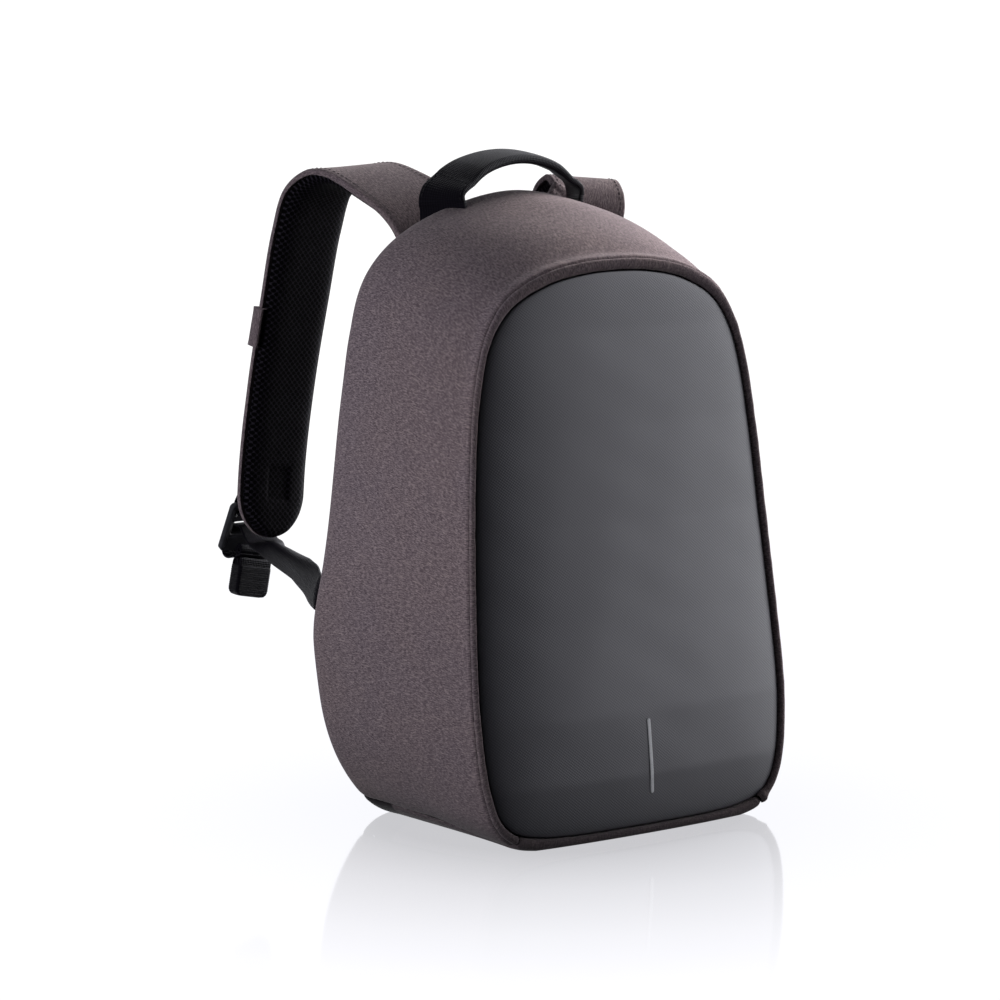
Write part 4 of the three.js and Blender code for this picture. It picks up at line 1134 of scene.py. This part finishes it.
def build_lock(side, middle):
    half, top = LOCK_WIDTH / 2, LOCK_LENGTH / 2
    slot_half = WEB_HALF + 0.7
    anchor_slot = top - LOCK_BAR - ANCHOR_SLOT
    web_slot = anchor_slot - LOCK_BAR - WEB_SLOT
    outlines = [rounded_outline(-half, -top, LOCK_WIDTH, LOCK_LENGTH, 3.4, 7),
                rounded_outline(-slot_half, anchor_slot, 2 * slot_half, ANCHOR_SLOT, 1.2, 5),
                rounded_outline(-slot_half, web_slot, 2 * slot_half, WEB_SLOT, 1.2, 5)]
    lean = math.pi / 2 + math.radians(LOCK_LEAN)
    matrix = Matrix.Translation(Vector(middle) * MM) @ Matrix.Rotation(lean, 4, "X")
    meshes = [plate(f"lock_{side}_plate", outlines, LOCK_THICKNESS, 0.9, matrix)]
    for y, radius in ((top - LOCK_BAR / 2, 2.1), (anchor_slot - LOCK_BAR / 2, 2.25), (web_slot - 2.6, 2.2)):
        meshes.append(rod_mesh((-slot_half - 1.5, y, 0.35), (slot_half + 1.5, y, 0.35), radius, matrix))
    for x in (-half + 2.3, half - 2.3):
        meshes.append(rod_mesh((x, -top + 3, 0.5), (x, top - 3, 0.5), 2.1, matrix))
    finish_piece(join_meshes(f"lock_{side}_frame", meshes), plastic, (f"lock_{side}",))


def tail_path():
    """The folded end of the webbing in its YZ plane: a roll at the top, then layers down and up."""
    points = []
    centre = (0.3, TAIL_HEIGHT / 2 - 5.0)
    for k in range(26):
        angle = math.radians(200 - 28 * k)
        radius = 0.9 + 3.3 * k / 25
        points.append((centre[0] + radius * math.cos(angle), centre[1] + radius * math.sin(angle)))
    low = -TAIL_HEIGHT / 2 + 1.4
    layers = [(4.2, 6), (4.25, -4), (4.2, low + 3), (3.2, low + 0.6), (2.2, low + 0.9), (1.55, low + 3.5),
              (1.5, -4), (1.5, 4.5), (0.9, 6.2), (0.0, 6.0), (-0.35, 4.2), (-0.4, -4), (-0.45, low + 3.2),
              (-1.2, low + 0.7), (-2.3, low + 0.8), (-2.9, low + 3.4), (-2.9, -4), (-2.85, 5), (-3.6, 7.4),
              (-4.3, 6.6), (-4.5, 4), (-4.5, -5), (-4.5, low + 4)]
    return points + layers


def build_adjuster(side, route, table, height):
    outwards = -1 if side == "left" else 1
    length = route.path.length
    end = route.path.at(np.array([1.0]))[0]
    sewn = route.path.at(1 - np.linspace(*ANCHOR_SEAT, 20) / length)
    cover = float(sewn[:, 1].max()) + STRAP_GAP + COVER_THICKNESS
    anchor_depth = cover + 1.5 * GAP + WEB_THICKNESS / 2
    middle = np.array([end[0] + outwards, anchor_depth - ANCHOR_LOOP[0][1], end[2] + LOCK_RISE])
    build_lock(side, middle)

    seam = float(back_at(height - WEB_HALF)) - WEB_SINK
    start = np.array([outwards * (body_side(height) - WEB_INSET), seam, height])
    points, across = [], []
    for out, behind, rise, width in table:
        points.append((start[0] + (middle[0] - start[0]) * out, start[1] + (middle[1] - start[1]) * behind,
                       start[2] + (middle[2] - start[2]) * behind + rise))
        across.append(width)
    for place in WEB_LOOP:
        points.append(tuple(middle + np.array(place)))
        across.append((1, 0, 0))
    web = Route(points, across)
    shares = np.linspace(0, 1, 260)
    curl = np.interp(shares, (0, 0.06, 0.4, 0.58, 0.7), (0.35, 0.4, 1, 1, 0))
    curl = curl * curl * (3 - 2 * curl)
    sag = np.interp(shares, (0, 0.08, 0.3), (3.0, 3.0, 0))

    def section(i, _):
        flat = flat_section(WEB_HALF, -WEB_THICKNESS / 2, WEB_THICKNESS / 2, 0.7, 16, 6.2 * curl[i])
        return [(a * (1 - 0.3 * curl[i]) - sag[i], n + 3 * curl[i]) for a, n in flat]

    finish_piece(sweep(f"web_{side}_tape", web, shares, section), tape, (f"web_{side}",))

    anchor = Route([tuple(middle + np.array(p)) for p in ANCHOR_LOOP], [(1, 0, 0)] * len(ANCHOR_LOOP))
    flat = flat_section(WEB_HALF, -WEB_THICKNESS / 2, WEB_THICKNESS / 2, 0.7, 10)
    loop = sweep(f"anchor_{side}_tape", anchor, np.linspace(0, 1, 110), lambda i, share: flat)
    finish_piece(loop, tape, (f"anchor_{side}",))
    # A sewn box with a cross in it: two sides along, two across, two diagonals
    frames = anchor.frames(np.linspace(0.03, 0.24, 12))
    face = WEB_THICKNESS / 2 + 0.05
    steps, ends = list(range(12)), np.linspace(-9.5, 9.5, 12)
    picks = [(steps, [-9.5] * 12), (steps, [9.5] * 12), ([0] * 12, ends), ([11] * 12, ends), (steps, ends),
             (steps, -ends)]
    box = [seam_line(frames, [(i, a, face) for i, a in zip(*pick)]) for pick in picks]
    stitches(f"anchor_{side}_stitches", box, dark_thread, 2.0, 3.0, 0.26)

    turn = Matrix.Translation(Vector(middle + np.array(TAIL_PLACE))) @ Matrix.Rotation(
        math.radians(TAIL_TURN), 4, "Y")
    place = np.array(turn)

    def placed(local):
        local = np.asarray(local, float)
        return local @ place[:3, :3].T + place[:3, 3]

    fold = Path(tail_path()).at(np.linspace(0, 1, 330))
    way = np.gradient(fold, axis=0)
    way /= np.linalg.norm(way, axis=1, keepdims=True)

    def lower_corner(z):
        reach = np.clip((-TAIL_HEIGHT / 2 + 5 - z) / 5.2, 0, 1)
        return 5 * (1 - math.sqrt(1 - reach**2))

    rings = []
    for (y, z), (wy, wz) in zip(fold, way):
        width = WEB_HALF - lower_corner(z)
        ring = [(a, y - wz * n, z + wy * n) for a, n in flat_section(width, -0.7, 0.7, 0.6, 6, 0, 3)]
        rings.append(placed(ring))
    finish_piece(tube(f"tail_{side}_fold", rings), tape, (f"tail_{side}",))

    low = -TAIL_HEIGHT / 2 - GAP
    high = low + KEEPER_SHARE * TAIL_HEIGHT
    half, deep = WEB_HALF + 0.75, TAIL_DEPTH / 2 + 0.75
    loop = np.array(rounded_outline(-half, -deep, 2 * half, 2 * deep, 2.4, 9))
    rows = []
    turned_in = low + 5 - 5 * np.sin(np.linspace(0, 1.5, 22)[1:])
    for z in np.concatenate([np.linspace(high, low + 5, 44), turned_in]):
        rib = 0.1 * math.sin(2 * math.pi * z / 1.5) - 0.3 * math.exp(-((high - z) / 0.6) ** 2)
        size = (half + rib - lower_corner(z)) / half
        end = 1 - 0.3 * np.clip((low + 1.2 - z) / 1.2, 0, 1) ** 2
        rows.append(placed([(x * size, y * (1 + rib / deep) * end, z) for x, y in loop]))
    keeper = tube(f"keeper_{side}_band", np.array(rows)[:, ::-1])
    finish_piece(keeper, elastic, (f"keeper_{side}",))


# Studio
FLOOR_SIZE = 4000


def area_light(name, place, aim, size, power, colour):
    """A soft light in metres and watts that no reflection shows."""
    data = bpy.data.lights.new(name, "AREA")
    data.shape = "RECTANGLE"
    data.size, data.size_y = size
    data.energy = power
    data.color = colour
    light = bpy.data.objects.new(name, data)
    light.location = place
    way = Vector(aim) - Vector(place)
    light.rotation_euler = way.to_track_quat("-Z", "Y").to_euler()
    light.visible_glossy = False
    bpy.context.collection.objects.link(light)


def build_world():
    """Bright behind the bag, with one more card to the right that only reflections see."""
    world = bpy.data.worlds.new("studio")
    world.use_nodes = True
    bpy.context.scene.world = world
    nodes = Nodes(world.node_tree)
    way = nodes.node("ShaderNodeTexCoord", output="Generated")

    def spread(value, *limits, **settings):
        inputs = dict(zip((0, 1, 2, 3, 4), (value, *limits)))
        return nodes.node("ShaderNodeMapRange", inputs, **settings)

    def facing(direction):
        return nodes.node("ShaderNodeVectorMath", {0: way, 1: direction}, "Value", operation="DOT_PRODUCT")

    backdrop = spread(facing((0.6, 0.785, 0.15)), 0.45, 0.85, 0.08, 1.1)
    card = spread(facing((0.97, -0.24, 0)), 0.5, 0.79, 0.0, 4.0, interpolation_type="SMOOTHSTEP")
    upright = spread(nodes.node("ShaderNodeSeparateXYZ", {0: way}, "Z"), -0.34, 0.12, 0.1, 1.0)
    rays = nodes.node("ShaderNodeLightPath").node.outputs
    gloss = nodes.maths("MULTIPLY", nodes.maths("MULTIPLY", card, upright), rays["Is Glossy Ray"])
    strength = nodes.maths("ADD", backdrop, gloss)
    light = nodes.node("ShaderNodeBackground", {"Color": (0.95, 0.96, 1.0), "Strength": strength})
    seen = nodes.node("ShaderNodeBackground", {"Color": (1, 1, 1), "Strength": 1.1})
    both = nodes.node("ShaderNodeMixShader", {0: rays["Is Camera Ray"], 1: light, 2: seen})
    nodes.fill(world.node_tree.nodes["World Output"].inputs["Surface"], both)


def build_floor():
    """A white glossy floor whose mirror and whiteness fade out from the bag."""
    size = FLOOR_SIZE
    floor = link_mesh("floor", [(-size, -size, 0), (size, -size, 0), (size, size, 0), (-size, size, 0)],
                      [(0, 1, 2, 3)], np.zeros((4, 2)))
    shader = Shader("studio_floor")
    inputs = {0: shader.coordinates("Object")}
    reach = shader.node("ShaderNodeVectorMath", inputs, "Value", operation="LENGTH")
    gloss = shader.ramp(reach, (0.12, 0.45), (0.22, 0.27), (0.33, 0.13), (0.42, 0.05), (0.56, 0))
    lit = shader.node("ShaderNodeEmission", {"Color": (0.96, 0.96, 1.0), "Strength": 1.09})
    mirror = shader.node("ShaderNodeBsdfAnisotropic", {"Roughness": 0.07})
    near = shader.node("ShaderNodeMixShader", {0: gloss, 1: lit, 2: mirror})
    fade = shader.ramp(shader.maths("MULTIPLY", reach, 0.5), (0.35, 0), (0.8, 1))
    clear = shader.node("ShaderNodeBsdfTransparent")
    far = shader.node("ShaderNodeMixShader", {0: fade, 1: near, 2: clear})
    shader.fill(shader.tree.nodes["Material Output"].inputs["Surface"], far)
    floor.data.materials.append(shader.material)
    floor.visible_diffuse = False
    floor.visible_glossy = False
    floor.visible_shadow = False


def build_studio():
    bpy.context.scene.view_settings.view_transform = "Standard"
    bpy.context.scene.view_settings.look = "None"
    build_world()
    build_floor()
    area_light("soft_right", (2.05, -0.75, 0.62), (0.05, 0, 0.22), (1.7, 1.25), 36, (1, 0.985, 0.98))
    area_light("soft_left", (-2.25, 0.0, 0.3), (-0.1, 0, 0.3), (1.3, 0.6), 41, (0.97, 0.97, 1))
    area_light("soft_top", (1.95, 0.45, 1.25), (0.05, 0.0, 0.35), (0.9, 0.8), 158, (1, 0.955, 0.91))


build_shell()
build_rim()
build_base()
build_panel()
build_bar()
build_back()
build_handle()
left_route = build_strap("left", LEFT_STRAP, LEFT_REACH, ("strap_left_pad",), ("strap_left_cover",))
right_route = build_strap("right", RIGHT_STRAP, RIGHT_REACH, ("strap_right_pad",), ("strap_right_cover",))
build_strap_band(left_route)
build_adjuster("left", left_route, LEFT_WEB, LEFT_WEB_UP * BAG_HEIGHT)
build_adjuster("right", right_route, RIGHT_WEB, RIGHT_WEB_UP * BAG_HEIGHT)
build_studio()

bpy.context.view_layer.update()
